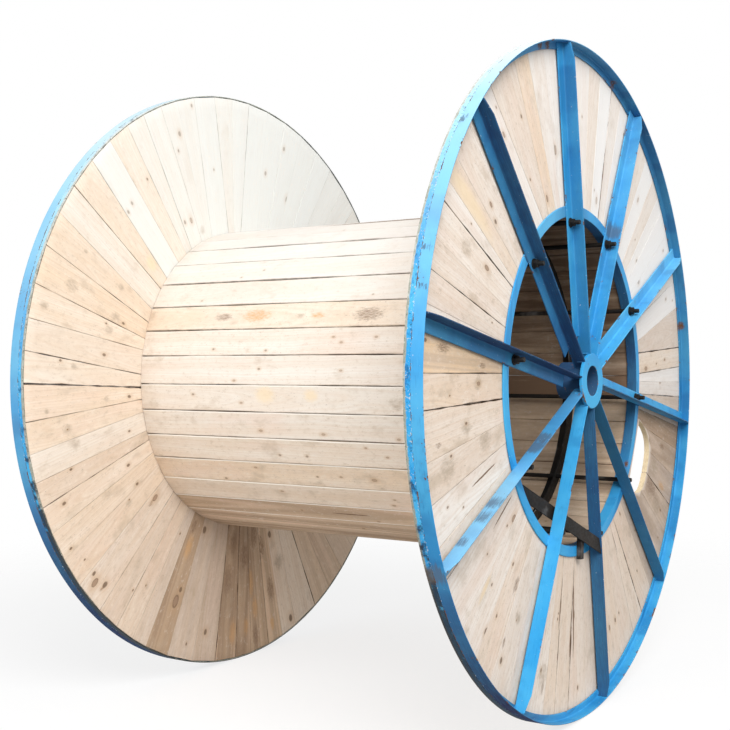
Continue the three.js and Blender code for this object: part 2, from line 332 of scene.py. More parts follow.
def objectPoints(tree):
    return put("TexCoord", {}, "Object", tree)


# Metres across and along, from the grain map.
def grainPlace(tree):
    return split(put("UVMap", {}, 0, tree, uv_map="grain"))[:2]


def newMaterial(name):
    material = bpy.data.materials.new(name)
    material.use_nodes = True
    return material, material.node_tree, material.node_tree.nodes["Principled BSDF"]


# Gives a shader its colour, roughness and gloss, and a bump from (height, strength, distance).
def finish(shader, colour, roughness, gloss, height, strength, distance):
    normal = put("Bump", {"Height": height, "Strength": strength, "Distance": distance})
    inputs = {"Base Color": colour, "Roughness": roughness, "Specular IOR Level": gloss, "Normal": normal}
    connect(shader, inputs)


# A round patch on the drum, (x, radius, degrees, size), whose edge a noise makes ragged.
def patch(where, spot, ragged):
    size = spot[3]
    distance = put("VectorMath", {0: where, 1: onDrum(*spot[:3])}, "Value", operation="DISTANCE")
    return fade(distance + ragged, size, size * 0.45)


pineLook = {
    "pale": (0.89, 0.80, 0.70, 1),
    "middle": (0.72, 0.56, 0.41, 1),
    "dark": (0.34, 0.23, 0.15, 1),
    "orange": (0.88, 0.62, 0.36, 1),
    "weathered": (0.62, 0.54, 0.49, 1),
    "lateWood": (0.62, 0.42, 0.26, 1),
    "pink": (0.80, 0.56, 0.44, 1),
    "lineShare": 0.24,
    "streakShare": 0.42,
    "eyeShare": 1.0,
    "barkShare": 0.55,
    "eyeHeart": (0.35, 0.235, 0.16, 1),
    "eyeBark": (0.11, 0.065, 0.04, 1),
    "dotHeart": (0.17, 0.11, 0.07, 1),
    "halo": (0.58, 0.38, 0.22, 1),
    "tan": (0.67, 0.40, 0.19, 1),
    "sootAndShade": (0.23, 0.14, 0.09, 1),
    "resin": (0.87, 0.69, 0.44, 1),
    "dusty": (0.44, 0.35, 0.26, 1),
    # The stain colour next also paints the shade inside the barrel.
    "stainAndShade": (0.21, 0.13, 0.08, 1),
    "dirt": (0.11, 0.065, 0.038, 1),
    "split": (0.16, 0.085, 0.042, 1),
    "smudge": (0.52, 0.41, 0.30, 1),
    "cut": (0.86, 0.74, 0.50, 1),
    # A painted highlight: the pale that the upper bevels of the lit staves are painted.
    "bevelHighlight": (0.94, 0.90, 0.83, 1),
    "ringSpacing": 0.0052,
}
# Each look's pale wash colour is what colour and marks fade to: a painted highlight on the most brightly lit
# faces, with some sun-bleaching.
nearLook = {
    **pineLook,
    "pale": (0.90, 0.825, 0.75, 1), "middle": (0.73, 0.58, 0.455, 1), "washedGlare": (0.91, 0.89, 0.865, 1),
}
farLook = {**pineLook, "washedGlare": (0.785, 0.82, 0.805, 1)}
staveLook = {
    **pineLook,
    "pale": (0.86, 0.80, 0.72, 1), "washedGlare": (0.735, 0.735, 0.725, 1),
    "lineShare": 0.17, "streakShare": 0.34, "eyeShare": 0.70, "barkShare": 0.30,
}

# Marks on a plank: how many times longer than wide, and how ragged the edge is.
plankMarks = {
    "eyeA": (1.8, 0.5), "eyeB": (1.8, 0.5), "eyeC": (1.8, 0.5), "dotA": (1.5, 0.6), "dotB": (1.5, 0.6),
    "crack": (28.0, 0.5), "tanA": (2.6, 1.5), "tanB": (2.6, 1.5), "sootA": (2.4, 1.7), "sootB": (2.4, 1.7),
    "resinA": (1.4, 0.9), "resinB": (1.4, 0.9), "glow": (5.0, 0.6), "dustA": (1.2, 1.3), "dustB": (1.2, 1.3),
}

# Noises on the grain: how much finer across than along, scale, detail, roughness, and the tone's part in it.
plankNoises = {
    "ragged": (3.0, 60, 3, 0.55, 0), "blotch": (4.0, 3, 4, 0.6, 0), "tint": (3.0, 2, 3, 0.5, 5.0),
    "mottle": (2.2, 34, 5, 0.72, 3.0), "smudges": (1.8, 7, 4, 0.6, 7.0), "scribble": (6.0, 48, 4, 0.65, 0),
    "specks": (2.6, 120, 2, 0.5, 1.0), "runs": (9.0, 2.2, 5, 0.65, 0), "broken": (2.0, 7, 4, 0.65, 0),
}


# How much of a place the marks of some kinds cover: the largest of their shares. Each share grows from
# outer to inner, in half widths away from the mark's middle, and where there is a hollow falls again in it.
def covered(shapes, kinds, outer, inner, hollow=None):
    total = 0.0
    for mark, (away, there) in shapes.items():
        if mark.startswith(kinds):
            share = fade(away, outer, inner) * there
            if hollow:
                share = share * fade(away, *hollow)
            total = maths("MAXIMUM", share, total)
    return total


# Sawn pine. The grain map gives metres across and along a plank, and each mark is an attribute of
# (across, along, half width): away = sqrt(dx^2 + (dy / stretch)^2) / half width. Growth rings are where a
# flat cut meets cones about the heart, ring = sqrt((across - heart)^2 + (depth + taper along)^2), and
# lines flow round an eye as water does round a post: across - dx size^2 / distance^2.
def pine(name, look):
    material, tree, shader = newMaterial(name)
    tone, warmth, grey, washAndGlare = attributes(tree, "tone", "warmth", "grey", "washAndGlare")
    stainAndShade, edge = attributes(tree, "stainAndShade", "edge")
    across, along = grainPlace(tree)
    noises = {}
    for kind, (finer, scale, detail, roughness, toned) in plankNoises.items():
        noises[kind] = noise(combined(across * finer, along, tone * toned), scale, detail, roughness)
    bent, shapes = across, {}
    for mark, (stretch, ragging) in plankMarks.items():
        markAcross, markAlong, size = split(attribute(tree, mark, "Vector"))
        dx, dy = across - markAcross, (along - markAlong) / stretch
        square = dx * dx + dy * dy
        away = maths("SQRT", square) / maths("MAXIMUM", size, 0.0002)
        away = away + (noises["ragged"] - 0.5) * ragging
        shapes[mark] = away, maths("GREATER_THAN", size, 0.0003)
        if mark.startswith("eye"):
            bent = bent - dx * (size * size / maths("MAXIMUM", square, size * size))

    heart, depth, taper = split(attribute(tree, "log", "Vector"))
    drift = noise(combined(bent * 2.0, along * 0.8), 2.4, 2) * 0.03 - 0.015
    aside, below = bent - heart + drift, along * taper + depth + drift
    ring = maths("SQRT", aside * aside + below * below)
    lines = fade(noiseAlong(ring, 1 / look["ringSpacing"], 1.0), 0.42, 0.70)
    streaks = fade(noiseAlong(ring, 0.16 / look["ringSpacing"], 2.0), 0.35, 0.68)
    fibres = noise(combined(bent * 70.0, along, tone * 9.0), 9, 3, 0.7)

    body = put("ValToRGB", {0: noises["blotch"] * 0.44 + (tone - 0.22)})
    ramp = body.socket.node.color_ramp.elements
    ramp[0].color = look["pale"]
    ramp[1].color = look["dark"]
    ramp.new(0.5).color = look["middle"]
    clear, shown = 1.0 - washAndGlare, 1.0 - washAndGlare * 0.5
    scribble = fade(noises["scribble"], 0.42, 0.58, 0.40)
    crack = covered(shapes, "crack", 1.0, 0.75)
    runs = noises["runs"] * 0.65 + noise(objectPoints(tree), 2.6, 5, 0.62) * 0.35
    bark = covered(shapes, "eye", 1.2, 1.0, (0.66, 0.94)) * fade(noises["ragged"], 0.36, 0.5, 0.35)
    dust = covered(shapes, "dust", 1.3, 0.3) * fade(noises["mottle"], 0.30, 0.62, 0.35)
    colour = coated(
        body, look,
        (warmth * fade(noises["blotch"], 0.35, 0.6, 0.55, 1.0), "orange"),
        (fade(noises["tint"], 0.50, 0.70, 0, 0.30), "pink"),
        (grey, "weathered"),
        # painted highlight with some sun-bleaching: colour and marks washed out towards pale
        (washAndGlare * 0.9, "washedGlare"),
        (streaks * clear * look["streakShare"], "middle"),
        (lines * clear * look["lineShare"], "lateWood"),
        (fade(fibres, 0.48, 0.75, 0, 0.32), "weathered"),
        (streaks * fade(tone, 0.32, 0.62, 0, 0.85), "dark"),
        (fade(noises["mottle"], 0.52, 0.72, 0, 0.50) * clear, "smudge"),
        (fade(noises["mottle"], 0.46, 0.30, 0, 0.40), "pale"),
        (fade(noises["smudges"], 0.54, 0.74, 0, 0.55) * clear, "smudge"),
        (fade(noises["specks"], 0.67, 0.75, 0, 0.5) * clear, "dotHeart"),
        (covered(shapes, "tan", 1.35, 0.4) * fade(scribble, 0.25, 1.0, 0.45) * shown * 0.85, "tan"),
        (covered(shapes, "soot", 1.35, 0.5) * scribble * shown * 0.76, "sootAndShade"),
        (covered(shapes, ("resin", "glow"), 1.3, 0.35) * shown * 0.62, "resin"),
        (dust * shown * 0.7, "dusty"),
        (covered(shapes, "eye", 3.2, 0.9) * shown * 0.42, "halo"),
        (covered(shapes, "dot", 3.2, 0.9) * shown * 0.35, "halo"),
        (covered(shapes, "eye", 1.1, 0.8) * shown * (0.85 * look["eyeShare"]), "eyeHeart"),
        (bark * shown * look["barkShare"], "eyeBark"),
        (covered(shapes, "dot", 1.25, 0.7) * shown * (0.85 * look["eyeShare"]), "dotHeart"),
        # stains, and on the barrel's inner faces painted shade of its dark inside
        (fade(runs, 0.62, 0.38, 0.3) * stainAndShade, "stainAndShade"),
        # painted highlight: upper bevels, where edge is below 0, painted pale
        (fade(edge, -0.1, -0.7, 0, 0.85), "bevelHighlight"),
        (crack * 0.9, "split"),
        (edge * (1.0 - washAndGlare * 0.6) * fade(noises["broken"], 0.36, 0.6, 0.25, 1.25), "dirt"),
    )
    height = fibres * 0.5 + lines * 0.25 - crack * 2.5
    finish(shader, colour, fade(lines, 0, 1, 0.82, 0.66), 0.2, height, 0.25, 0.001)
    return material


# A fresh cut across the boards, paler than their faces and rough.
def cutPine(look):
    material, tree, shader = newMaterial("cutPine")
    where = objectPoints(tree)
    grains = noise(put("Mapping", {"Vector": where, "Scale": (6, 1, 1)}), 90, 3, 0.7)
    colour = coated(
        look["cut"], look,
        (fade(grains, 0.35, 0.7, 0, 0.6), "lateWood"),
        (fade(noise(where, 9, 3), 0.5, 0.7, 0, 0.55), "stainAndShade"),
    )
    finish(shader, colour, 0.85, 0.5, grains, 0.5, 0.0012)
    return material


paintLook = {
    "blue": (0.028, 0.32, 0.69, 1),
    "faded": (0.072, 0.44, 0.77, 1),
    "deep": (0.014, 0.18, 0.46, 1),
    # The pale blue and the near white next are colours of a painted highlight, with some sun-bleaching.
    "bleached": (0.44, 0.72, 0.83, 1),
    "glareWhite": (0.76, 0.79, 0.79, 1),
    # The navy next is painted shade, with some dirt.
    "grime": (0.028, 0.031, 0.080, 1),
    "bare": (0.11, 0.09, 0.075, 1),
    "rust": (0.15, 0.065, 0.03, 1),
    "scuff": (0.62, 0.70, 0.74, 1),
    "scorched": (0.085, 0.13, 0.20, 1),
    "chipLevel": 0.655,
    "chipEdge": 0.015,
    "seam": 0.8177,
    "seamWidth": 0.010,
}
hubLook = {**paintLook, "bare": (0.33, 0.25, 0.19, 1), "rust": (0.22, 0.12, 0.07, 1)}


# Brushed-on blue paint. edge is 1 on rounded corners, where it has worn through first: it comes off where
# 0.35 fine + 0.65 middle noise + 0.065 edge + worn + 0.09 seam passes a level. The seam is where the rim's
# tread meets the edge strip. The whitening towards pale blue and near white is a painted highlight on the
# most brightly lit faces, with some sun-bleaching, and the darkening towards navy is painted shade on faces
# turned from the light and in recesses, with some dirt.
# Spots are rusty places and scorches grey ones, each (x, radius, degrees, size).
def paintedSteel(name, look, bareness=0.0, spots=(), scorches=()):
    material, tree, shader = newMaterial(name)
    where = objectPoints(tree)
    x, y, _ = split(where)
    across, along = grainPlace(tree)
    edge, worn, outside, bleach, grime = attributes(tree, "edge", "worn", "outside", "bleach", "grime")
    wide, middle, fine = noise(where, 2.4, 4, 0.6), noise(where, 17, 5, 0.62), noise(where, 130, 4, 0.65)
    streaks = noise(combined(across * 14.0, along), 16, 4, 0.6)
    bands = noise(combined(across, along * 1.6, y), 3.2, 3, 0.5)
    colour = coated(
        look["blue"], look,
        (fade(wide, 0.36, 0.66), "faded"),
        (fade(middle, 0.52, 0.74, 0, 0.3), "deep"),
        (fade(streaks, 0.55, 0.75, 0, 0.45), "faded"),
        (fade(streaks, 0.44, 0.28, 0, 0.5), "deep"),
        (fade(bands, 0.46, 0.34, 0, 0.55), "deep"),
        (fade(bands, 0.56, 0.70, 0, 0.6), "faded"),
        # painted highlight with some sun-bleaching on the brightly lit faces, in the next two coats
        (bleach * 1.3 * fade(wide, 0.25, 0.6, 0.7, 1.0), "bleached"),
        (fade(bleach, 0.55, 1.0, 0, 0.85), "glareWhite"),
        # painted shade with some dirt: faces turned from the light and recesses darkened to navy
        (grime * fade(streaks, 0.35, 0.6, 0.86, 1.0), "grime"),
    )
    smoky = (streaks + middle) * 0.07 - 0.07
    for spot in scorches:
        colour = blend(patch(where, spot, smoky) * 0.8, colour, look["scorched"])
    seam = fade(abs(x), look["seam"], look["seam"] + look["seamWidth"], 1, 0) * outside
    level = fine * 0.35 + middle * 0.65 + edge * 0.065 + worn + bareness + seam * 0.09
    chips = fade(level, look["chipLevel"], look["chipLevel"] + look["chipEdge"])
    rusty = fade(noise(where, 7.5, 3, 0.55), 0.72, 0.78)
    for spot in spots:
        rusty = maths("MAXIMUM", rusty, patch(where, spot, middle * 0.03 - 0.015))
    colour = blend(fade(fine + seam * 0.09 + edge * 0.04, 0.69, 0.72, 0, 0.7), colour, look["scuff"])
    colour = blend(chips, colour, blend(fade(middle, 0.45, 0.65), look["bare"], look["rust"]))
    colour = blend(rusty * fade(fine, 0.32, 0.52), colour, look["rust"])
    rough = maths("MAXIMUM", fade(wide, 0.3, 0.7, 0.42, 0.56), maths("MAXIMUM", grime, chips * 0.7))
    finish(shader, colour, maths("MINIMUM", rough, 1.0), 0.15, fine * 0.35 - chips, 0.25, 0.0008)
    return material


steelLook = {
    "scale": (0.012, 0.0115, 0.011, 1),
    "brown": (0.026, 0.020, 0.016, 1),
    "rust": (0.065, 0.038, 0.022, 1),
    "grey": (0.20, 0.19, 0.18, 1),
}


# Unpainted rolled steel: dark mill scale, brown rust and rubbed grey edges.
def bareSteel(name, look, greyness=0.0):
    material, tree, shader = newMaterial(name)
    where = objectPoints(tree)
    wide, fine = noise(where, 6, 4, 0.6), noise(where, 90, 5, 0.65)
    colour = coated(
        look["scale"], look,
        (fade(wide, 0.38, 0.64), "brown"),
        (fade(fine, 0.56, 0.74, 0, 0.5), "rust"),
        (fade(attribute(tree, "edge") * 0.12 + wide + greyness, 0.60, 0.74, 0, 0.8), "grey"),
    )
    finish(shader, colour, fade(fine, 0.3, 0.7, 0.5, 0.75), 0.2, fine, 0.3, 0.0005)
    connect(shader, {"Metallic": 0.1})
    return material


stripLook = {
    "khaki": (0.30, 0.32, 0.27, 1),
    "pale": (0.58, 0.60, 0.56, 1),
    # The near black next is painted shade with some dirt, and also the dark flecks' colour; the pale
    # blue-grey after it is a painted highlight with some sun-bleaching.
    "blackAndShade": (0.022, 0.026, 0.032, 1),
    "bleached": (0.70, 0.74, 0.74, 1),
    "bareTo": 0.8030,
    "bareEdge": 0.003,
    "bareSpread": 0.012,
}


# Edge strips: khaki primer bare along the inner edge, where |x| + spread (noise - 0.5) is small, and the
# rims' blue over the rest. The strips are whitened on the brightly lit side, a painted highlight with some
# sun-bleaching, and nearly black towards the bottom, painted shade with some dirt. Spots are brown.
def stripSteel(look, paint, spots):
    material, tree, shader = newMaterial("stripSteel")
    where = objectPoints(tree)
    edge, bleach, grime = attributes(tree, "edge", "bleach", "grime")
    wide, middle, fine = noise(where, 5, 4, 0.6), noise(where, 30, 4, 0.6), noise(where, 150, 4, 0.65)
    khaki = blend(fade(middle + bleach * 0.3, 0.45, 0.8), look["khaki"], look["pale"])
    colour = coated(
        paint["blue"], paint,
        (fade(wide, 0.4, 0.62), "faded"),
        (fade(middle, 0.50, 0.66, 0, 0.75), "deep"),
        (fade(bleach, 0.1, 0.6, 0, 0.8), "bleached"),
    )
    reach = abs(split(where)[0]) + (middle - 0.5) * look["bareSpread"]
    colour = blend(fade(reach, look["bareTo"], look["bareTo"] - look["bareEdge"]), colour, khaki)
    colour = coated(
        colour, look,
        (fade(fine + edge * 0.05, 0.60, 0.66, 0, 0.8), "pale"),
        # painted highlight with some sun-bleaching, then painted shade with some dirt towards the bottom
        (fade(bleach, 0.5, 0.95, 0, 0.9), "bleached"),
        (fade(middle + grime * 0.60, 0.60, 0.85, 0, 0.92), "blackAndShade"),
        (fade(fine - edge * 0.05, 0.38, 0.34, 0, 0.7), "blackAndShade"),
    )
    for spot in spots:
        colour = blend(patch(where, spot, middle * 0.03 - 0.015) * 0.85, colour, paint["bare"])
    finish(shader, colour, 0.75, 0.2, fine, 0.3, 0.0006)
    return material


# Places on the steel as (x, radius, degrees, size).
places = {
    "rust": [
        (0.822, 1.235, 11, 0.026), (0.822, 1.235, 74, 0.026), (0.822, 1.235, 104, 0.026),
        (0.822, 1.24, 107, 0.026), (0.822, 1.225, 137, 0.026), (0.822, 0.61, 325, 0.026),
        (0.822, 0.64, 97, 0.026),
    ],
    "rimScorches": [
        (0.83, 1.245, 206.5, 0.045), (0.826, 1.25, 166.1, 0.010), (0.838, 1.25, 166.2, 0.010),
        (0.85, 1.25, 166.4, 0.010), (0.828, 1.25, 161, 0.014), (0.826, 1.25, 139.3, 0.018),
    ],
    "spokeScorches": [
        (0.84, 0.66, 64, 0.055), (0.84, 0.60, 64, 0.03), (0.84, 0.50, 204.5, 0.06), (0.84, 0.44, 204, 0.05),
        (0.84, 0.86, 204, 0.06), (0.84, 0.94, 204.5, 0.05), (0.84, 1.09, 204, 0.045),
    ],
    "stripSpots": [(0.81, 1.25, 206.5, 0.04)],
}

boardPine = {near: pine("nearPine", nearLook), far: pine("farPine", farLook)}
stavePine = pine("stavePine", staveLook)
freshPine = cutPine(pineLook)
rimBlue = paintedSteel("rimBlue", paintLook, spots=places["rust"], scorches=places["rimScorches"])
spokeBlue = paintedSteel("spokeBlue", paintLook, scorches=places["spokeScorches"])
wornBlue = paintedSteel("wornBlue", hubLook, bareness=0.045)
edgeSteel = stripSteel(stripLook, paintLook, places["stripSpots"])
darkSteel = bareSteel("darkSteel", steelLook)
greySteel = bareSteel("greySteel", steelLook, greyness=0.02)
print("materials made")

# Corners are rounded by heel, toe and root. Dents are how high the ripple is, and surface is how near to a
# hoop's outer or inner radius a point belongs to its tread or leg.
hoops = {
    "heel": 0.0010, "toe": 0.003, "root": 0.005, "rimFace": 0.030, "ringFace": 0.040, "ringDepth": 0.040,
    "stripThickness": 0.005, "supportLeg": 0.050, "insideBleach": 0.12, "surface": 0.002,
    "segments": {"rim": 360, "ring": 300, "edge_strip": 360, "support_hoop": 240},
    "dents": {"rim": 0.0006, "ring": 0.0, "edge_strip": 0.0003, "support_hoop": 0.0},
}
ringOuter = drum["ringInner"] + hoops["ringFace"]

# By angle, from +Y towards +Z: how far the treads are whitened, a painted highlight with some sun-bleaching,
# and how far they are darkened, painted shade towards the bottom with some dirt; how far the insides of the
# rims and the rings' legs are darkened, painted shade; and how much darker the rings' faces are.
weather = {
    "nearBleach": ([0, 60, 98, 108, 150, 175, 195, 360], [0.1, 0.2, 0.6, 1, 0.34, 0.08, 0, 0]),
    "farBleach": ([0, 60, 130, 155, 170, 185, 205, 360], [0.3, 0.8, 0.75, 0.5, 0.25, 0.15, 0.05, 0]),
    "nearGrime": (
        [0, 176, 190, 205, 212, 225, 240, 270, 300, 360],
        [0.25, 0, 0.16, 0.3, 0.6, 0.85, 1.05, 0.9, 0.35, 0.25],
    ),
    "farGrime": ([0, 165, 185, 200, 212, 225, 280, 360], [0.1, 0.05, 0.15, 0.35, 0.8, 0.97, 0.97, 0.3]),
    "insideGrime": (
        [0, 35, 62, 74, 96, 110, 215, 230, 245, 262, 335, 360],
        [0.42, 0.56, 0.62, 0.38, 0.36, 0.1, 0.2, 0.6, 0.6, 0.1, 0.1, 0.42],
    ),
    "ringLegGrime": ([0, 75, 105, 320, 335, 360], [0.75, 0.7, 0.1, 0.1, 0.65, 0.75]),
    "ringGrime": (
        [0, 82, 88, 104, 112, 150, 200, 260, 332, 340, 360],
        [0.02, 0.05, 0.35, 0.3, 0.06, 0, 0.02, 0, 0.06, 0.14, 0.02],
    ),
}


# What a weather table says round a hoop.
def weathered(key, around):
    return byAngle(weather[key], around)


# Rolled angle and bar bent round the axis, as outlines of (radius, out) with the wear at each point.
def hoopOutlines():
    t, outer, seat = drum["steel"], drum["radius"], drum["ringInner"] + drum["steel"]
    back, front = drum["rimBack"], drum["rimBack"] + drum["steel"]
    edge, foot, tip = drum["rimOuter"], outer - hoops["rimFace"], front - hoops["ringDepth"]
    inner, under, stripUnder = drum["ringInner"], outer - t, outer - hoops["stripThickness"]
    boardLow, boardHigh, low, high = drum["boardInner"], drum["boardOuter"], drum["hoopLow"], drum["hoopHigh"]
    leg = seat - hoops["supportLeg"]
    heel, toe, root = hoops["heel"], hoops["toe"], hoops["root"]
    rows = {
        "rim": (
            [(outer, back), (outer, edge), (under, edge), (under, front), (foot, front), (foot, back)],
            [heel, heel, toe, root, toe, heel], [1, 1, 1, 0, 1, 1],
        ),
        "ring": (
            [(inner, front), (inner, tip), (seat, tip), (seat, back), (ringOuter, back), (ringOuter, front)],
            [heel, heel, toe, root, heel, toe], [1, 1, 1, 0, 1, 1],
        ),
        "edge_strip": (
            [(outer, boardLow), (outer, boardHigh), (stripUnder, boardHigh), (stripUnder, boardLow)],
            [heel] * 4, [1] * 4,
        ),
        "support_hoop": (
            [(seat, low), (seat, high), (leg, high), (leg, high - t), (inner, high - t), (inner, low)],
            [heel, heel, heel, toe, root, toe], [1, 1, 1, 1, 0, 1],
        ),
    }
    return {node: roundedOutline(*row) for node, row in rows.items()}


# Each hoop is its outline turned round the axis. Whitening, a painted highlight with some sun-bleaching, and
# darkening, painted shade with some dirt, go by angle, on the treads, inside them and on the ring's leg and
# face, and mirrored on the far side.
def addHoops():
    finishes = {
        "rim": (rimBlue, "blue_paint"), "ring": (rimBlue, "blue_paint"),
        "edge_strip": (edgeSteel, "worn_steel"), "support_hoop": (darkSteel, "bare_steel"),
    }
    outlines = hoopOutlines()
    for side in (near, far):
        name = sideNames[side]
        for node, (outline, edgeWear) in outlines.items():
            segments, dent = hoops["segments"][node], hoops["dents"][node]
            angles = np.linspace(0, 360, segments, endpoint=False)
            around = (angles if side == near else 180 - angles)[:, None]
            tread = outline[:, 0] > drum["radius"] - hoops["surface"]
            bleach = weathered(name + "Bleach", around) * np.where(tread, 1.0, hoops["insideBleach"])
            grime = np.where(tread, weathered(name + "Grime", around), weathered("insideGrime", around))
            if node == "ring":
                leg = outline[:, 0] < drum["ringInner"] + hoops["surface"]
                grime = np.where(leg, weathered("ringLegGrime", around), weathered("ringGrime", around))
            length = np.concatenate([[0], np.cumsum(np.linalg.norm(np.diff(outline, axis=0), axis=1))])
            grain = joined(length, np.radians(angles)[:, None] * outline[:, 0])
            grid = revolved(outline, side, segments, dent, 3 + side)
            shells = Shells()
            shells.add(
                grid, closeRows=True, grain=grain, edge=edgeWear, bleach=bleach, grime=grime,
                outside=tread.astype(float),
            )
            material, slot = finishes[node]
            shells.build(name + node.title().replace("_", ""), material, [name + "_" + node])


addHoops()
print("rims, rings, strips and hoops made")

hub = {
    "bore": 0.0565, "disc": 0.1035, "discThickness": 0.012, "sleeve": 0.070, "segments": 128, "grime": 0.88,
    "rounding": [0.001, 0.0025, 0.002, 0.001, 0.006, 0.001], "wear": [1, 1, 1, 1, 0, 1],
}
discBack = drum["hubFace"] - hub["discThickness"]


# The hub is one turned outline of (radius, out): a disc on a sleeve, with a weld between them. The bore and
# the sleeve behind the disc are darkened: painted shade in these recesses.
def addHubs():
    face, end = drum["hubFace"], drum["sleeveEnd"]
    bore, disc, sleeve = hub["bore"], hub["disc"], hub["sleeve"]
    corners = [(bore, end), (bore, face), (disc, face), (disc, discBack), (sleeve, discBack), (sleeve, end)]
    outline, wear = roundedOutline(corners, hub["rounding"], hub["wear"])
    radius, out = outline.T
    hidden = (radius < bore + 0.0005) | (radius < sleeve + 0.004) & (out < discBack + 0.001)
    for side in (near, far):
        shells = Shells()
        grid = revolved(outline, side, hub["segments"])
        shells.add(grid, closeRows=True, edge=wear, grime=np.where(hidden, hub["grime"], 0.0))
        shells.build(sideNames[side] + "Hub", wornBlue, [sideNames[side] + "_hub"])


addHubs()
print("hubs made")

spoke = {
    "count": 10, "turn": 25.9, "leg": 0.050, "stand": 0.050, "tab": 0.0703, "start": 0.1038,
    "lyingStart": 0.171, "end": 1.243, "tipCut": 0.013, "tipLength": 0.062, "step": 0.0126,
    "rodOffset": 0.025, "rodCircle": 0.595, "sections": [0.4, 0.6, 0.8, 1.0],
    "rounding": [0.001, 0.001, 0.003, 0.005, 0.003, 0.001], "wear": [0.5, 1, 1, 0, 1, 1],
    "bleachAlong": [0.45, 0.8], "bleachShares": [0.25, 1.0], "farWear": (0.2, 0.2, 0.0, 0.0),
}
# Darkening of the lying and the standing leg of each near spoke, painted shade on legs turned from the light
# and where the standing leg shades the lying one, with some dirt; then how worn it is, and how far it is
# whitened, a painted highlight with some sun-bleaching.
spokeShadeAndWear = [
    (0, 0, 0, 0.14), (0.06, 0.16, 0, 0.08), (0.24, 0.42, 0, 0), (0.58, 0.82, 0, 0), (0.46, 0.88, 0, 0),
    (0.18, 0.02, 0.01, 0.34), (0, 0, 0, 0), (0.74, 0.78, 0, 0), (0.54, 0.56, 0, 0), (0.04, 0.60, 0, 0),
]
rodLead = np.degrees(np.arcsin(spoke["rodOffset"] / spoke["rodCircle"]))
flangeTurn = {near: 0.0, far: 180 - 2 * (spoke["turn"] + rodLead)}


# Where a flange's spokes are, in degrees: evenly spaced from its turn.
def spokeAngles(side):
    return spoke["turn"] + flangeTurn[side] + 360 / spoke["count"] * np.arange(spoke["count"])


# An angle section carried along a radius. Its standing leg's height falls in a line at the rim, and
# the lying leg is drawn in to the standing one before its start: t' = min(t, steel), z' = z - drop.
def spokeGrid():
    t, leg, stand = drum["steel"], spoke["leg"], spoke["stand"]
    corners = [(0, 0), (leg, 0), (leg, t), (t, t), (t, stand), (0, stand)]
    outline, wear = roundedOutline(corners, spoke["rounding"], spoke["wear"])
    start, lyingStart, step = spoke["start"], spoke["lyingStart"], spoke["step"]
    rows = [(spoke["tab"], step, 1), (start, step, 1), (start, 0, 1), (lyingStart, 0, 1), (lyingStart, 0, 0)]
    rows += [(along, 0, 0) for along in spoke["sections"]]
    rows += [(spoke["end"] - spoke["tipLength"], 0, 0), (spoke["end"], spoke["tipCut"], 0)]
    along, drop, drawnIn = np.array(rows, float).T[..., None]
    aside = np.where(drawnIn > 0, np.minimum(outline[:, 0], t), outline[:, 0])
    up = outline[:, 1] - drop * (outline[:, 1] > 0.02)
    grid = joined(along, aside, drum["spokeBack"] + up)
    return grid, np.broadcast_to(wear, grid.shape[:2])


# The standing and the lying leg are darkened each by its own share, painted shade with some dirt, and the
# whitening, a painted highlight, grows outward.
def addSpokes():
    grid, wear = spokeGrid()
    up, along = grid[..., 2] - drum["spokeBack"], grid[..., 0]
    grain = joined(grid[..., 1] + up, along)
    for side in (near, far):
        for index, angle in enumerate(spokeAngles(side)):
            lying, standing, worn, bleach = spokeShadeAndWear[index] if side == near else spoke["farWear"]
            grime = np.where(up > 0.006, standing, lying)
            bleach = bleach * np.interp(along, spoke["bleachAlong"], spoke["bleachShares"])
            placed = toDrum(turnAboutAxis(grid, angle), side)
            shells = Shells()
            shells.add(placed, grain=grain, edge=wear, grime=grime, worn=worn, bleach=bleach)
            name = f"{sideNames[side]}Spoke{index + 1}"
            shells.build(name, spokeBlue, [f"{sideNames[side]}_spoke_{index + 1}"])


addSpokes()
print("spokes made")

weld = {
    "radius": 0.0036, "wave": 0.0032, "steps": 26, "swell": 0.16, "roughness": 0.09, "columns": 7,
    "endSlope": 12, "endShare": 0.35, "edge": 0.35, "grime": 0.2, "overlap": 0.003, "inset": 0.004,
    "proud": 0.001, "tabBelow": 0.02, "tabAbove": 0.002,
}


# A weld bead between two points: a bar whose radius is r (1 + swell sin(length / wave)), thin at its ends.
def bead(first, last, seed):
    share = np.linspace(0, 1, weld["steps"])
    path = np.outer(1 - share, first) + np.outer(share, last)
    length = np.linalg.norm(np.subtract(last, first))
    noisy = np.random.default_rng(seed).normal(0, weld["roughness"], weld["steps"])
    swelling = weld["swell"] * np.sin(share * length * 2 * np.pi / weld["wave"])
    ends = np.clip(np.minimum(share, 1 - share) * weld["endSlope"] + weld["endShare"], 0, 1)
    return tube(path, weld["radius"] * (1 + swelling + noisy) * ends, weld["columns"])


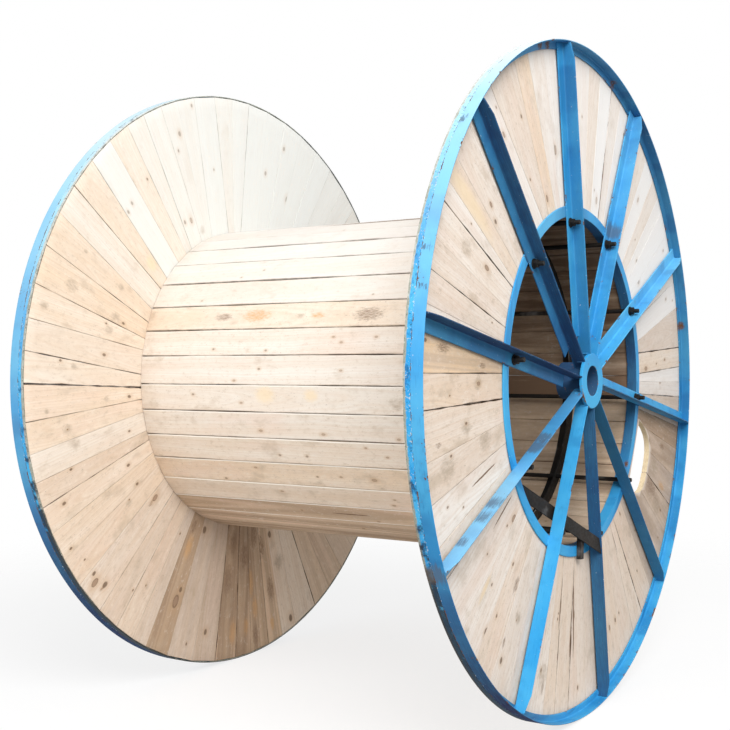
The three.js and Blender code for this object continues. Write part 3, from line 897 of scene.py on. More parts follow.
# Beads where each spoke meets the rim, the ring, the disc and the sleeve. Runs are the ends of each bead as
# (radius, across, out).
def addWelds():
    back, t, leg = drum["spokeBack"], drum["steel"], spoke["leg"]
    overlap, inset = weld["overlap"], weld["inset"]
    rimInner, end, tab = drum["radius"] - hoops["rimFace"] + overlap, spoke["end"], spoke["start"]
    ringLow, ringHigh, sleeve = drum["ringInner"] + inset, ringOuter - inset, hub["sleeve"] + weld["proud"]
    below, above = discBack - weld["tabBelow"], discBack + weld["tabAbove"]
    runs = [((rimInner, aside, back), (end - overlap, aside, back)) for aside in (0, leg)]
    runs += [((end, inset, back), (end, leg - inset, back))]
    runs += [((ringLow, aside, back), (ringHigh, aside, back)) for aside in (0, leg)]
    runs += [((tab, aside, below), (tab, aside, above)) for aside in (0, t)]
    runs += [((sleeve, aside, back + inset), (sleeve, aside, discBack - overlap)) for aside in (0, t)]
    for side in (near, far):
        shells = Shells()
        for index, angle in enumerate(spokeAngles(side)):
            for number, (first, last) in enumerate(runs):
                made = bead(first, last, 100 * index + number + 5000 * (side + 1))
                # Near welds at the ring, the disc and the sleeve are darkened as their spoke is: painted
                # shade with some dirt.
                grime = max(spokeShadeAndWear[index][:2]) if side == near and number > 2 else weld["grime"]
                shells.add(toDrum(turnAboutAxis(made, angle), side), edge=weld["edge"], grime=grime)
        shells.build(sideNames[side] + "Welds", spokeBlue, sharpest=70)


addWelds()
print("welds made")

rod = {
    "radius": 0.009, "reach": 0.040, "threadLength": 0.056, "threadStop": 0.0012, "runOut": 0.001,
    "pitch": 0.0025, "threadDepth": 0.0007, "chamfer": 0.0015, "turns": 16, "plain": 0.5, "lift": 0.0003,
    "acrossFlats": 0.027, "nutHeight": 0.014, "nutSteps": 48, "nutClearance": 0.0002,
    "coneDepths": [0, 0.0004, 0.0008, 0.0012, 0.0016, 0.002], "coneShare": 0.97, "coneSlope": 1.73,
    "washerRadius": 0.018, "washerThickness": 0.004, "washerClearance": 0.0004, "washerSteps": 40,
    "washerRounding": [0.0004, 0.0006, 0.0008, 0.0004], "shaftEdge": 0.2, "nutEdge": 0.5,
}


# Threaded shaft: its radius falls by a triangle wave of (along / pitch - angle / full turn) on the threads.
def rodGrid():
    end = drum["spokeBack"] + drum["steel"] + rod["reach"]
    threads = np.arange(end - rod["threadLength"], end - rod["threadStop"], rod["pitch"] / 5)
    along = np.concatenate([-threads[::-1], [-rod["plain"], rod["plain"]], threads])[:, None]
    angle = np.linspace(0, 360, rod["turns"], endpoint=False)
    wave = (along / rod["pitch"] - angle / 360) % 1
    threaded = np.abs(along) >= threads[0] + rod["runOut"]
    radius = rod["radius"] - rod["threadDepth"] * np.where(threaded, 1 - np.abs(2 * wave - 1), 0)
    tip = np.full((1, rod["turns"]), rod["radius"] - rod["chamfer"])
    return polar(np.concatenate([tip, radius, tip]), angle, np.concatenate([[[-end]], along, [[end]]]))


# Hexagon nut: radius = min(flat / cos(angle from the flat's middle), a cone near each face).
def nutGrid(seat):
    angle = np.linspace(0, 360, rod["nutSteps"], endpoint=False)
    flat, depth = rod["acrossFlats"] / 2, np.array(rod["coneDepths"])
    hexagon = flat / np.cos(np.radians((angle + 30) % 60 - 30))
    outer = np.minimum(hexagon, (flat * rod["coneShare"] + depth * rod["coneSlope"])[:, None])
    bore = np.full((2, rod["nutSteps"]), rod["radius"] + rod["nutClearance"])
    up = np.concatenate([depth, rod["nutHeight"] - depth[::-1], [rod["nutHeight"], 0]]) + seat
    return polar(np.concatenate([outer, outer[::-1], bore]), angle, up[:, None])


# Washer: a flat ring, its outline of (radius, up) turned round the rod.
def washerGrid(seat):
    inner, radius, top = rod["radius"] + rod["washerClearance"], rod["washerRadius"], rod["washerThickness"]
    corners = [(inner, 0), (radius, 0), (radius, top), (inner, top)]
    outline, _ = roundedOutline(corners, rod["washerRounding"], [0] * 4, 3, 1)
    angle = np.linspace(0, 360, rod["washerSteps"], endpoint=False)[:, None]
    return polar(outline[:, 0], angle, outline[:, 1] + seat)


# A rod beside each near spoke, with a washer and a nut at both ends.
def addRods():
    seat = drum["spokeBack"] + drum["steel"] + rod["lift"]
    shaft, aside = rodGrid(), (spoke["rodCircle"], 0, 0)
    fittings = washerGrid(seat), nutGrid(seat + rod["washerThickness"])
    for index, angle in enumerate(spokeAngles(near) + rodLead):
        shells = Shells()
        shells.add(toDrum(turnAboutAxis(shaft + aside, angle), near), edge=rod["shaftEdge"])
        for side in (near, far):
            spin = 17.0 * index + 40 * (side + 1)
            for fitting in fittings:
                grid = turnAboutAxis(fitting, spin) * (1, 1, side) + aside
                placed = toDrum(turnAboutAxis(grid, angle), near)
                shells.add(placed, closeRows=True, edge=rod["nutEdge"])
        shells.build(f"tieRod{index + 1}", greySteel, [f"tie_rod_{index + 1}"], sharpest=32)


addRods()
print("tie rods made")

# Joints between boards, in degrees from +Y towards +Z, at the rim and, where it differs, at the ring. Where
# too few are listed the rest are evenly spaced. A joint's gap is gap + spread u^4 for a random u.
boards = {
    "count": 60, "inner": 0.6245, "outer": 1.2440, "bevel": 0.0009, "gap": 0.0007, "gapSpread": 0.0024,
    "sunk": 0.0016, "cup": 0.0010, "rows": 13,
    "near": [
        (2.2, 1.6), (6.4, 9.7), (15.3, 13.4), 21, 26.5, 32, 37.5, 41, 45.5, 51, 57, 62.5, 68, (73.2, 72.2),
        79, 84.5, 91.5, 98, 105, (111.7, 108.7), (117.2, 114.5), (127.5, 118.5), (131, 127), 137, 144,
        148.5, (152, 150.5), 158, (162.8, 163.6), 168, 172, (178.1, 176.8), (183.3, 184.4), 191, 197.3,
        204, 209.4, 219, 225.5, 232, 239, 246, 253.8, (258.8, 257.2), (264.8, 266.4), 273, 279.5, 286,
        292.5, 299, (304.8, 302.2), 311.5, 318, 325, (331.4, 331.9), 338, 344, 349, (355.6, 354.1), 358.8,
    ],
    "far": [
        (88, 92), (93.5, 95.8), 99, (105.3, 109.5), (110.5, 112.2), 115.3, (120.5, 122), 125.5, 131,
        (137, 140), (143.5, 145), (149.5, 154), (156, 159), (163, 165), 169, (174.5, 178), (180, 182.5),
        186.5, (192, 191), (197, 198), 201.5, 206.5, 212, 218, 225, 230.5, 235.5, 239.5, 246, 253.5, 260.5,
        267, 272, 278, 283, (288, 290), 296,
    ],
}
# Shifts are how far a stave's joint is from its even place, in degrees. Bevel glare is by angle.
stave = {
    "count": 40, "turn": 1.0, "inner": 0.6233, "outer": 0.6553, "bevel": 0.0030, "gap": 0.0010,
    "gapSpread": 0.0016, "sunk": 0.0022, "rows": 16, "strayHalfWidth": 0.05, "jointDark": 0.8,
    "bevelGlare": ([170, 190, 235, 250], [0.0, -1.0, -1.0, 0.0]),
    "insides": {"warmth": 0.25, "grey": 0.0, "washAndGlare": 0.0},
    "shifts": {
        99: -1, 108: -1.5, 117: -2.4, 126: -2.6, 135: -2.4, 144: -1.6, 153: -0.8, 162: -0.8, 171: -0.8,
    },
}

# Joints that stand open, as the degrees at the rim and the gap in millimetres.
openJoints = {
    "near": {
        73.2: 5, 84.5: 0.4, 91.5: 0.5, 98: 0.5, 127.5: 0.4, 144: 0.4, 152: 2.8, 158: 0.4, 162.8: 2.5,
        168: 0.5, 178.1: 2.5, 183.3: 4, 191: 0.5, 197.3: 1.5, 209.4: 2, 219: 0.5, 225.5: 0.5, 232: 0.5,
        258.8: 3.5, 264.8: 5, 286: 0.5, 292.5: 0.4, 304.8: 5, 311.5: 0.6, 318: 0.5, 325: 0.5, 331.4: 3,
        338: 0.5, 355.6: 2.5, 2.2: 3, 6.4: 4,
    },
    "far": {
        88: 2.8, 93.5: 0.4, 99: 1.6, 105.3: 1.4, 115.3: 0.6, 120.5: 1.8, 125.5: 1.8, 131: 0.4, 137: 1.6,
        143.5: 1.8, 156: 1.8, 163: 1.8, 169: 1.2, 174.5: 2.4, 180: 5, 186.5: 1.5, 192: 0.8, 218: 0.8,
        225: 1.5, 230.5: 1.2, 235.5: 0.5, 239.5: 0.6, 260.5: 3, 267: 3, 272: 2.5,
    },
    "barrel": {
        99: 5, 107.5: 2.5, 115.6: 2.5, 124.4: 5, 133.6: 3.2, 143.4: 4.5, 153.2: 3, 162.2: 2.5, 171.2: 2.6,
        181: 2.5, 190: 2.8, 199: 2.8, 208: 2.2,
    },
}

# Planks unlike their neighbours: a degree on the plank, tone from pale to dark, warmth, greyness and, where
# it is not as the tones by angle say, how far the plank's colour and marks are washed out towards pale,
# partly the plank's own paleness and partly a painted highlight.
shades = {
    "near": [
        (29, 0.05, 0, 0, 0.95), (35, 0, 0, 0, 1), (39, 0.06, 0, 0, 0.9), (43, 0.18, 0.3, 0, 0.6),
        (48, 0, 0, 0, 1), (54, 0.12, 0.4, 0, 0.6), (70, 0.1, 0.15, 0, 0.5), (76, 0, 0, 0, 0.95),
        (81.5, 0.12, 0.28, 0, 0.45), (88, 0.05, 0.05, 0, 0.7), (101.5, 0.05, 0, 0, 0.5),
        (108, 0.05, 0, 0.05, 0.4), (113.5, 0.17, 0.52, 0, 0.1), (121, 0.17, 0.1, 0.1, 0.1),
        (126, 0.02, 0, 0, 0.5), (140.5, 0.08, 0.05, 0, 0.1), (146.2, 0.12, 0.35, 0, 0.1),
        (150, 0.04, 0, 0, 0.2), (155, 0.08, 0.1, 0, 0.1), (160, 0.13, 0.1, 0.1, 0),
        (165, 0.15, 0.1, 0.1, 0), (175, 0.45, 0.75, 0, 0), (180.5, 0.28, 0.35, 0.1, 0),
        (187, 0.17, 0.15, 0.1, 0), (194, 0.18, 0.1, 0.2, 0), (200.5, 0.05, 0, 0, 0.2),
        (214, 0.03, 0, 0, 0.2), (222, 0.07, 0, 0, 0.1), (228.7, 0.13, 0.2, 0, 0), (235.5, 0.1, 0.05, 0, 0),
        (249.9, 0.08, 0.05, 0, 0.1), (256, 0.22, 0.2, 0, 0), (262, 0.22, 0.15, 0.1, 0),
        (269.5, 0.16, 0.1, 0.1, 0), (276, 0.2, 0.1, 0.1), (289, 0.24, 0.15, 0), (296, 0.2, 0.1, 0.1),
        (301, 0.22, 0.1, 0), (308, 0.3, 0.15, 0.1), (321.5, 0.38, 0.1, 0.38), (328, 0.44, 0.2, 0.32),
        # On the next line, the plank at 346.5 degrees is darkened: a painted shadow of the spoke beside it.
        (334, 0.42, 0.05, 0.42), (340, 0.48, 0.2, 0.25), (346.5, 0.92, 0.2, 0, 0), (357, 0.05, 0, 0, 0.5),
        (0.4, 0.03, 0, 0, 0.75), (4.8, 0.16, 0.4, 0, 0.25), (11.5, 0.34, 0, 0.3, 0.2),
        (18, 0.02, 0, 0, 0.95),
    ],
    "far": [
        (91, 0, 0, 0, 0.9), (96.5, 0.05, 0.1, 0, 0.8), (118, 0.02, 0, 0, 0.75), (128, 0.1, 0.24, 0, 0.4),
        (134, 0, 0, 0, 0.85), (142, 0.14, 0.28, 0, 0.25), (147, 0.08, 0.05, 0, 0.4),
        (153, 0.18, 0.26, 0, 0.15), (159.5, 0.22, 0.35, 0, 0.1), (166, 0.12, 0.3, 0, 0.15),
        (171.5, 0.16, 0.1, 0, 0.2), (177, 0.11, 0.2, 0, 0.2), (183.5, 0.11, 0.35, 0, 0.1),
        (189, 0.16, 0.25, 0, 0.05), (194.5, 0.13, 0, 0, 0.25), (199.5, 0.28, 0.05, 0.25, 0),
        (204, 0.16, 0.12, 0.05, 0.05), (209, 0.22, 0.14, 0.05, 0), (215, 0.25, 0.12, 0.08, 0),
        (221.5, 0.16, 0, 0.3, 0), (228, 0.34, 0, 0.3), (233, 0.28, 0.05, 0.15), (237.5, 0.26, 0, 0.35),
        (243, 0.84, 0.18, 0), (249.5, 0.36, 0, 0.44), (257, 0.42, 0, 0.42), (264, 0.8, 0.15, 0),
        (269.5, 0.64, 0.25, 0), (275, 0.68, 0.15, 0), (280.5, 0.5, 0.2, 0), (285.5, 0.06, 0.15, 0),
        (290.5, 0.02, 0.1, 0),
    ],
    "barrel": [
        (132, 0.02, 0, 0), (150, 0.08, 0.04, 0), (158, 0.14, 0.2, 0), (167, 0.03, 0.05, 0), (176, 0, 0, 0),
        (185, 0.03, 0.05, 0), (194, 0.1, 0, 0), (203, 0.15, 0.05, 0), (212, 0.22, 0.3, 0),
        (221, 0.2, 0.2, 0.1), (230, 0.52, 0.15, 0),
    ],
}

# Marks by kind: the degrees, the radius or, on the barrel, the place along the axis, and half the width in
# millimetres.
marks = {
    "near": {
        "eye": [
            (126.9, 1.042, 6.5), (113.6, 0.715, 7), (104.4, 0.865, 10), (75, 0.728, 8),
            (141.6, 0.937, 6.5), (153.6, 0.85, 8), (179.7, 0.825, 6), (218.4, 0.728, 9), (287.5, 1.045, 6),
            (308.1, 0.705, 4.6), (48.9, 1.012, 7), (4.7, 1.015, 5), (3.3, 0.76, 9),
        ],
        "dot": [
            (120.6, 0.827, 4), (77.2, 0.76, 4), (149.8, 1.007, 3), (142.9, 0.878, 6.5), (164.7, 0.755, 3),
            (173.2, 1.17, 6), (181.6, 1.015, 3), (191.9, 1.03, 4.5), (202.1, 1, 3.5), (199.6, 1.09, 4),
            (233.7, 1.128, 8), (225.4, 1.108, 8.5), (235.6, 0.97, 2.6), (227.2, 1.03, 4.5),
            (221.4, 0.98, 4.5), (226.5, 0.835, 5), (217.2, 0.78, 4), (250.8, 1.075, 5), (256.6, 0.885, 4),
            (256.8, 0.865, 3), (291.1, 1.048, 6.5), (37.8, 0.815, 7), (31.6, 0.785, 9), (43.2, 0.86, 3.5),
            (18.9, 1.09, 6.5), (17.4, 1.18, 4), (4.2, 0.9, 4), (358.4, 0.945, 5),
        ],
        "glow": [(146.8, 1.05, 36), (219.8, 1.02, 12)],
        "dust": [
            (154.5, 1, 30), (179.6, 0.83, 24), (193.6, 1.06, 42), (192.6, 0.8, 38), (188.2, 0.92, 28),
            (236, 0.96, 22), (251.6, 1.09, 40), (335.5, 0.95, 45), (327.6, 1.06, 42),
        ],
        "crack": [
            (200.1, 0.84, 3.6), (212.8, 0.775, 3.4), (266.5, 0.9, 5.5), (264.9, 0.94, 4.5),
            (257.6, 0.82, 4.2), (299.3, 0.76, 2.2),
        ],
        "soot": [
            (173.6, 1.06, 15), (175.6, 0.8, 9), (189.2, 1.1, 8), (230.9, 0.875, 13), (232.9, 1.07, 8),
            (266.6, 0.88, 10), (252.4, 1.13, 10), (330, 0.95, 30), (341, 0.8, 26), (342.2, 1.02, 12),
        ],
        "tan": [(333, 1.08, 16)],
    },
    "far": {
        "dot": [
            (106.5, 1.215, 5.5), (112.2, 1.115, 7.5), (74.3, 1.125, 7), (69, 0.905, 10), (80.2, 0.962, 7),
            (120.4, 0.77, 6), (134.8, 0.997, 5.5), (137.2, 0.985, 5.5), (173.3, 0.861, 6),
            (102.7, 0.937, 4), (176, 1.077, 4.5), (189.5, 1.055, 2.6), (165.1, 0.872, 3.6),
            (163.4, 0.785, 5), (203, 1.15, 6.5), (204.6, 0.799, 6), (211.2, 1.2, 5), (211.3, 0.793, 5.5),
            (213.2, 0.86, 3), (218.9, 1.17, 7), (222.7, 1.162, 10), (229.9, 1.09, 3.6), (232.7, 1.04, 3),
            (244.3, 0.977, 8), (247.3, 0.703, 11), (256.2, 1.123, 9), (250.7, 1.183, 4.5),
            (197.7, 1.075, 5), (286.8, 1.197, 12), (284.3, 0.75, 11),
        ],
        "eye": [(117.4, 0.762, 7), (220.4, 1.19, 11), (219.8, 0.748, 9), (243.8, 1.03, 15)],
        "dust": [
            (113.4, 0.7, 16), (177, 1.012, 13), (184.7, 0.845, 12), (185.3, 1.145, 10), (189.5, 1.055, 20),
            (166.4, 0.852, 20), (166.2, 1.185, 18), (160.5, 1.08, 26), (163, 0.83, 24), (154.6, 0.848, 14),
            (152.6, 1.07, 9), (213.9, 0.87, 15), (233.1, 1.04, 12), (243.6, 1.02, 30), (193, 1.03, 24),
            (286.4, 0.9, 36),
        ],
        "resin": [(141.4, 0.76, 26)],
        "soot": [
            (222.6, 1.18, 6), (219.8, 0.78, 7), (241.6, 0.71, 13), (262.6, 0.9, 26), (264, 0.74, 21),
            (270, 0.8, 24), (275.2, 0.72, 22), (273.8, 1.18, 20), (281, 1, 24), (278.6, 0.78, 22),
        ],
        "tan": [
            (242.3, 0.8, 22), (265.6, 1.13, 22), (272.4, 0.93, 24), (270.4, 1.12, 16), (274, 1.05, 20),
            (280, 1.16, 14),
        ],
    },
    "barrel": {
        "soot": [(157.7, -0.403, 15), (158, 0.267, 25)],
        "tan": [(157.5, -0.24, 25), (158, 0.044, 12)],
        "dust": [(158, -0.035, 12), (186.4, 0.41, 26)],
        "dot": [
            (169, -0.425, 3.8), (169.6, -0.17, 3.8), (184.4, -0.52, 4.5), (205, -0.143, 4.5),
            (205, -0.017, 4.5), (213, -0.002, 3.8), (216, -0.457, 4.5), (230.5, -0.17, 3.8),
            (241.5, 0.05, 5.2), (138.5, -0.295, 3), (141.5, -0.39, 3), (151, -0.542, 3), (151, 0.263, 2.6),
        ],
        "eye": [
            (167.2, 0.167, 3.7), (165.6, 0.314, 3.7), (165.4, 0.13, 3.2), (176.2, 0.175, 3.7),
            (179.6, -0.313, 3.7), (187, -0.283, 3.7), (196.4, -0.207, 4.7), (196.9, 0.08, 4.7),
            (197.7, 0.4, 4.2), (201, 0.254, 3.2), (204, 0.337, 3.7), (210.5, -0.283, 4.2),
            (213, 0.25, 6.3), (212.5, 0.106, 3.7), (220.5, -0.205, 4.2), (223.8, 0.288, 4.2),
            (221, 0.303, 3.2), (234, 0.166, 4.2),
        ],
        "resin": [(184.2, -0.168, 34), (184.2, 0.043, 24)],
        "crack": [(230.8, 0.06, 3.5), (102.2, 0.3, 22)],
    },
}

# By angle: how pale to dark, the barrel darker towards its underside; how stained; and how far colour and
# marks are washed out towards pale, a painted highlight where the faces are most brightly lit, with some
# sun-bleaching. Inside is the barrel's inner face, whose stain and tone are painted shade of the barrel's
# dark inside, with some real stain.
tones = {
    "near": ([0, 8, 20, 90, 180, 270, 320, 352, 360], [0.1, 0.3, 0.04, 0.06, 0.12, 0.2, 0.4, 0.25, 0.1]),
    "far": (
        [0, 60, 125, 150, 180, 225, 240, 260, 300, 360],
        [0.3, 0, 0.08, 0.18, 0.2, 0.3, 0.45, 0.5, 0.45, 0.3],
    ),
    "barrel": (
        [0, 90, 150, 180, 218, 235, 250, 290, 360],
        [0.3, 0.02, 0.05, 0.12, 0.24, 0.5, 0.55, 0.5, 0.3],
    ),
    "nearStain": ([0, 20, 308, 322, 350, 360], [0.08, 0, 0, 0.5, 0.4, 0.08]),
    "farStain": ([0, 60, 225, 262, 272, 280, 300, 330, 360], [0.3, 0, 0.05, 0.38, 0.38, 0.05, 0, 0.3, 0.3]),
    "barrelStain": ([0, 100, 220, 255, 300, 360], [0.2, 0, 0.03, 0.3, 0.4, 0.2]),
    "insideShadeStain": (
        [0, 5.5, 23, 45, 90, 180, 300, 347.5, 356.5, 360],
        [1.5, 0.85, 1, 1.3, 1.4, 1.1, 0.5, 0.5, 1.6, 1.5],
    ),
    "insideShadeTone": (
        [0, 5.5, 45, 90, 180, 300, 347.5, 356.5, 360],
        [0.9, 0.6, 0.78, 0.9, 0.7, 0.45, 0.5, 1, 0.9],
    ),
    "nearWashAndGlare": ([0, 30, 60, 130, 352, 360], [0.5, 0.85, 0.8, 0.1, 0, 0.5]),
    "farWashAndGlare": (
        [0, 50, 60, 100, 120, 150, 180, 200, 225, 360],
        [0.4, 0.9, 0.95, 0.95, 0.7, 0.4, 0.2, 0.08, 0, 0],
    ),
    "barrelWashAndGlare": ([0, 60, 120, 150, 158, 167, 190, 205, 360], [0, 0.7, 0.7, 0.4, 0.05, 0.2, 0.15, 0, 0]),
}

# What differs by chance from plank to plank, as means and spreads or as ranges: tone, warmth, greyness, the
# place of the log's heart, in the plank or beside it, its depth, and a stray knot in some planks.
chances = {
    "tone": (0, 0.05), "warmth": (0.02, 0.10), "grey": (0, 0.08), "heartInside": 0.4, "heart": (0, 0.02),
    "beside": (0.08, 0.2), "depth": (0.01, 0.05), "taper": 0.04, "stray": 0.25, "strayAcross": (-0.7, 0.7),
    "strayAlong": (0.1, 0.9), "straySize": (3, 6),
}
# How a joint's gap wavers, how dark it looks, how near in degrees a listed one is found, how far lips stay
# apart, how much of the bevel the ends are drawn in and how soon beside a bevel the face is clean.
joint = {
    "waves": (1.3, 3.1, 6.7), "waver": 0.42, "least": 0.15, "most": 2.0, "dark": 0.30, "darkPerMetre": 220,
    "found": 0.3, "lipClearance": 0.00015, "endDraw": 0.6, "clean": 0.002,
}


# A plank's section as (corner share, shift in metres) across and up, how grimy each point is, and its
# lips: -1 or 1 at mid height, where the plank reaches out to its neighbour so that no light comes through.
# The middle of a corner's arc is 0.29 = 1 - cos 45 degrees of the bevel from both faces.
def plankSection(bevel):
    points = []
    for a, u in ((0, 0), (1, 0), (1, 1), (0, 1)):
        inA, inU, clean = bevel * (1 - 2 * a), bevel * (1 - 2 * u), (bevel + joint["clean"]) * (1 - 2 * a)
        arc = [(0, inU, 1.0), (inA * 0.29, inU * 0.29, 0.6), (inA, 0, 0.25), (clean, 0, 0.0)]
        points += [(a, da, u, du, g, 0) for da, du, g in (arc if a == u else arc[::-1])]
        if a == u:
            points += [(share if u == 0 else 1 - share, 0, u, 0, 0.0, 0) for share in (0.3, 0.5, 0.7)]
        else:
            points += [(a, 0, 0.5, 0, 1.0, 2 * a - 1)]
    return tuple(np.array(points, float).T)


# Rows along a plank and how far the section is drawn in at each, to round the ends.
def plankRows(length, sizes):
    end = sizes["bevel"] / length
    along = np.concatenate([[0, end], np.linspace(0, 1, sizes["rows"] + 2)[1:-1], [1 - end, 1]])
    drawIn = np.zeros(len(along))
    drawIn[[0, -1]] = joint["endDraw"] * sizes["bevel"]
    return along[:, None], drawIn[:, None]


# Shares across and up at every row, kept inside the plank where it is drawn in, and out to half the gap at
# a lip.
def plankShares(section, width, thickness, drawIn, leftGap, rightGap):
    across, shiftAcross, up, shiftUp, _, lip = section
    a = np.clip(across + shiftAcross / width, drawIn / width, 1 - drawIn / width)
    h = np.clip(up + shiftUp / thickness, drawIn / thickness, 1 - drawIn / thickness)
    reach = np.maximum(np.where(lip < 0, leftGap, rightGap) / 2 - joint["lipClearance"], 0)
    return np.broadcast_arrays(a + lip * reach / width, h)


# How a joint's width wavers along it: 1 + waver times the sum of sin(2 pi (along k + phase)).
def wavering(along, draw):
    waves = sum(np.sin(2 * np.pi * (along * k + draw.random())) for k in joint["waves"])
    return np.clip(1 + joint["waver"] * waves, joint["least"], joint["most"])


# Gap at a joint in metres and how dark it looks: gap + spread u^4, or as listed, and darker the wider.
def jointGap(name, angle, sizes, draw):
    gap = sizes["gap"] + sizes["gapSpread"] * draw.random() ** 4
    for place, wide in openJoints[name].items():
        if within(place, angle, joint["found"]):
            gap = wide / 1000
    return gap, min(1.0, joint["dark"] + joint["darkPerMetre"] * (gap - sizes["gap"]))


# What the pine material reads for one plank: its tone, where the log's heart was, and its marks.
def plankNature(name, middle, ownShades, found, origin, halfWidth, length, draw):
    tone = byAngle(tones[name], middle) + draw.normal(*chances["tone"])
    warmth, grey = max(0.0, draw.normal(*chances["warmth"])), max(0.0, draw.normal(*chances["grey"]))
    washAndGlare = byAngle(tones[name + "WashAndGlare"], middle)
    for shade in ownShades:
        tone, warmth, grey, washAndGlare = shade[1:] if len(shade) == 5 else (*shade[1:], washAndGlare)
    if draw.random() < chances["heartInside"]:
        heart = draw.normal(*chances["heart"])
    else:
        heart = draw.choice([-1, 1]) * draw.uniform(*chances["beside"])
    depth = draw.uniform(*chances["depth"]) - origin[1] * chances["taper"]
    log = np.array([origin[0] + heart, depth, chances["taper"]])
    if draw.random() < chances["stray"]:
        across, along = draw.uniform(*chances["strayAcross"]), draw.uniform(*chances["strayAlong"])
        stray = ("dot", across * halfWidth, along * length, draw.uniform(*chances["straySize"]))
        found = found + [stray]
    slots = {mark: (origin[0], origin[1], 0.0) for mark in plankMarks}
    for kind, across, along, size in found:
        free = [mark for mark in plankMarks if mark.startswith(kind) and slots[mark][2] == 0]
        if free:
            slots[free[0]] = (origin[0] + across, origin[1] + along, size / 1000)
    values = {mark: np.array(place) for mark, place in slots.items()}
    values |= {"tone": np.clip(tone, 0, 1), "stainAndShade": byAngle(tones[name + "Stain"], middle)}
    return {**values, "warmth": warmth, "grey": grey, "washAndGlare": washAndGlare, "log": log}


# How far round a board an angle is, from 0 to 1, at a share of the way out, and the board's width there in
# radians. A joint is its degrees at the rim and at the ring.
def roundBoard(before, after, angle, share=0.5):
    first, last = before @ (share, 1 - share), after @ (share, 1 - share)
    return (angle - first) % 360 / (last - first), np.radians(last - first)


# The marks on a board, as their kind, metres across from its middle and out from its inner end, and size.
def boardMarks(name, before, after, length):
    found = []
    for kind, rows in marks[name].items():
        for angle, radius, size in rows:
            out = radius - boards["inner"]
            spot, span = roundBoard(before, after, angle, out / length)
            if spot < 1:
                found.append((kind, (spot - 0.5) * span * radius, out, size))
    return found


# Radial boards of one flange. A board's edges are straight lines between neighbouring joints.
def addBoards(side):
    name, count, inner, outer = sideNames[side], boards["count"], boards["inner"], boards["outer"]
    joints = [(j, j) if np.isscalar(j) else j for j in boards[name]]
    spare = np.linspace(joints[-1][0], joints[0][0] + 360, count - len(joints) + 2)[1:-1]
    joints = np.array(joints + [(j, j) for j in spare], float)
    following = np.roll(joints, -1, axis=0)
    following[-1] += 360
    draw = np.random.default_rng(40 + side)
    gaps = np.array([jointGap(name, place[0], boards, draw) for place in joints])
    shells = Shells()
    thickness, length = drum["boardOuter"] - drum["boardInner"], outer - inner
    section = plankSection(boards["bevel"])
    along, drawIn = plankRows(length, boards)
    widths = [gap * wavering(along, draw) for gap, _ in gaps]
    for index, (before, after) in enumerate(zip(joints, following)):
        leftGap, rightGap = widths[index], widths[(index + 1) % count]
        left = polar(inner, before[1]) * (1 - along) + polar(outer, before[0]) * along
        right = polar(inner, after[1]) * (1 - along) + polar(outer, after[0]) * along
        full = np.linalg.norm(right - left, axis=1, keepdims=True)
        across = (right - left) / full
        left, right = left + across * leftGap / 2, right - across * rightGap / 2
        width = full - (leftGap + rightGap) / 2
        a, h = plankShares(section, width, thickness, drawIn, leftGap, rightGap)
        low = drum["boardInner"] + boards["sunk"] * draw.random()
        high = drum["boardOuter"] - boards["sunk"] * draw.random()
        cup = boards["cup"] * draw.random() * 4 * a * (1 - a)
        up = low + h * (high - low) + np.where(h < 0.5, cup, -cup) * draw.choice([0, 1])
        plan = left[:, None, :] * (1 - a[..., None]) + right[:, None, :] * a[..., None]
        grid = toDrum(plan + joined(0, 0, up), near) * (side, 1, 1)
        origin = (3.1 * index + 1, 1.7 * index + 2)
        grain = joined(origin[0] + (a - 0.5) * width, origin[1] + along * length)
        found = boardMarks(name, before, after, length)
        own = [row for row in shades[name] if roundBoard(before, after, row[0])[0] < 1]
        middle = (before.mean() + after.mean()) / 2
        nature = plankNature(name, middle, own, found, origin, width.mean() / 2, length, draw)
        edge = section[4] * np.where(section[0] < 0.5, gaps[index, 1], gaps[(index + 1) % count, 1])
        shells.add(grid, grain=grain, edge=edge, **nature)
    return shells.build(name + "Boards", boardPine[side], [name + "_boards"])


nearBoards = addBoards(near)
addBoards(far)
print("boards made")


# The marks on a stave, as their kind, metres across from its middle and along from its far end, and size.
def staveMarks(middle, half):
    found = []
    for kind, rows in marks["barrel"].items():
        for angle, place, size in rows:
            if within(angle, middle, half):
                across = np.radians(angle - middle) * stave["outer"]
                found.append((kind, across, place + drum["staveEnd"], size))
    return found


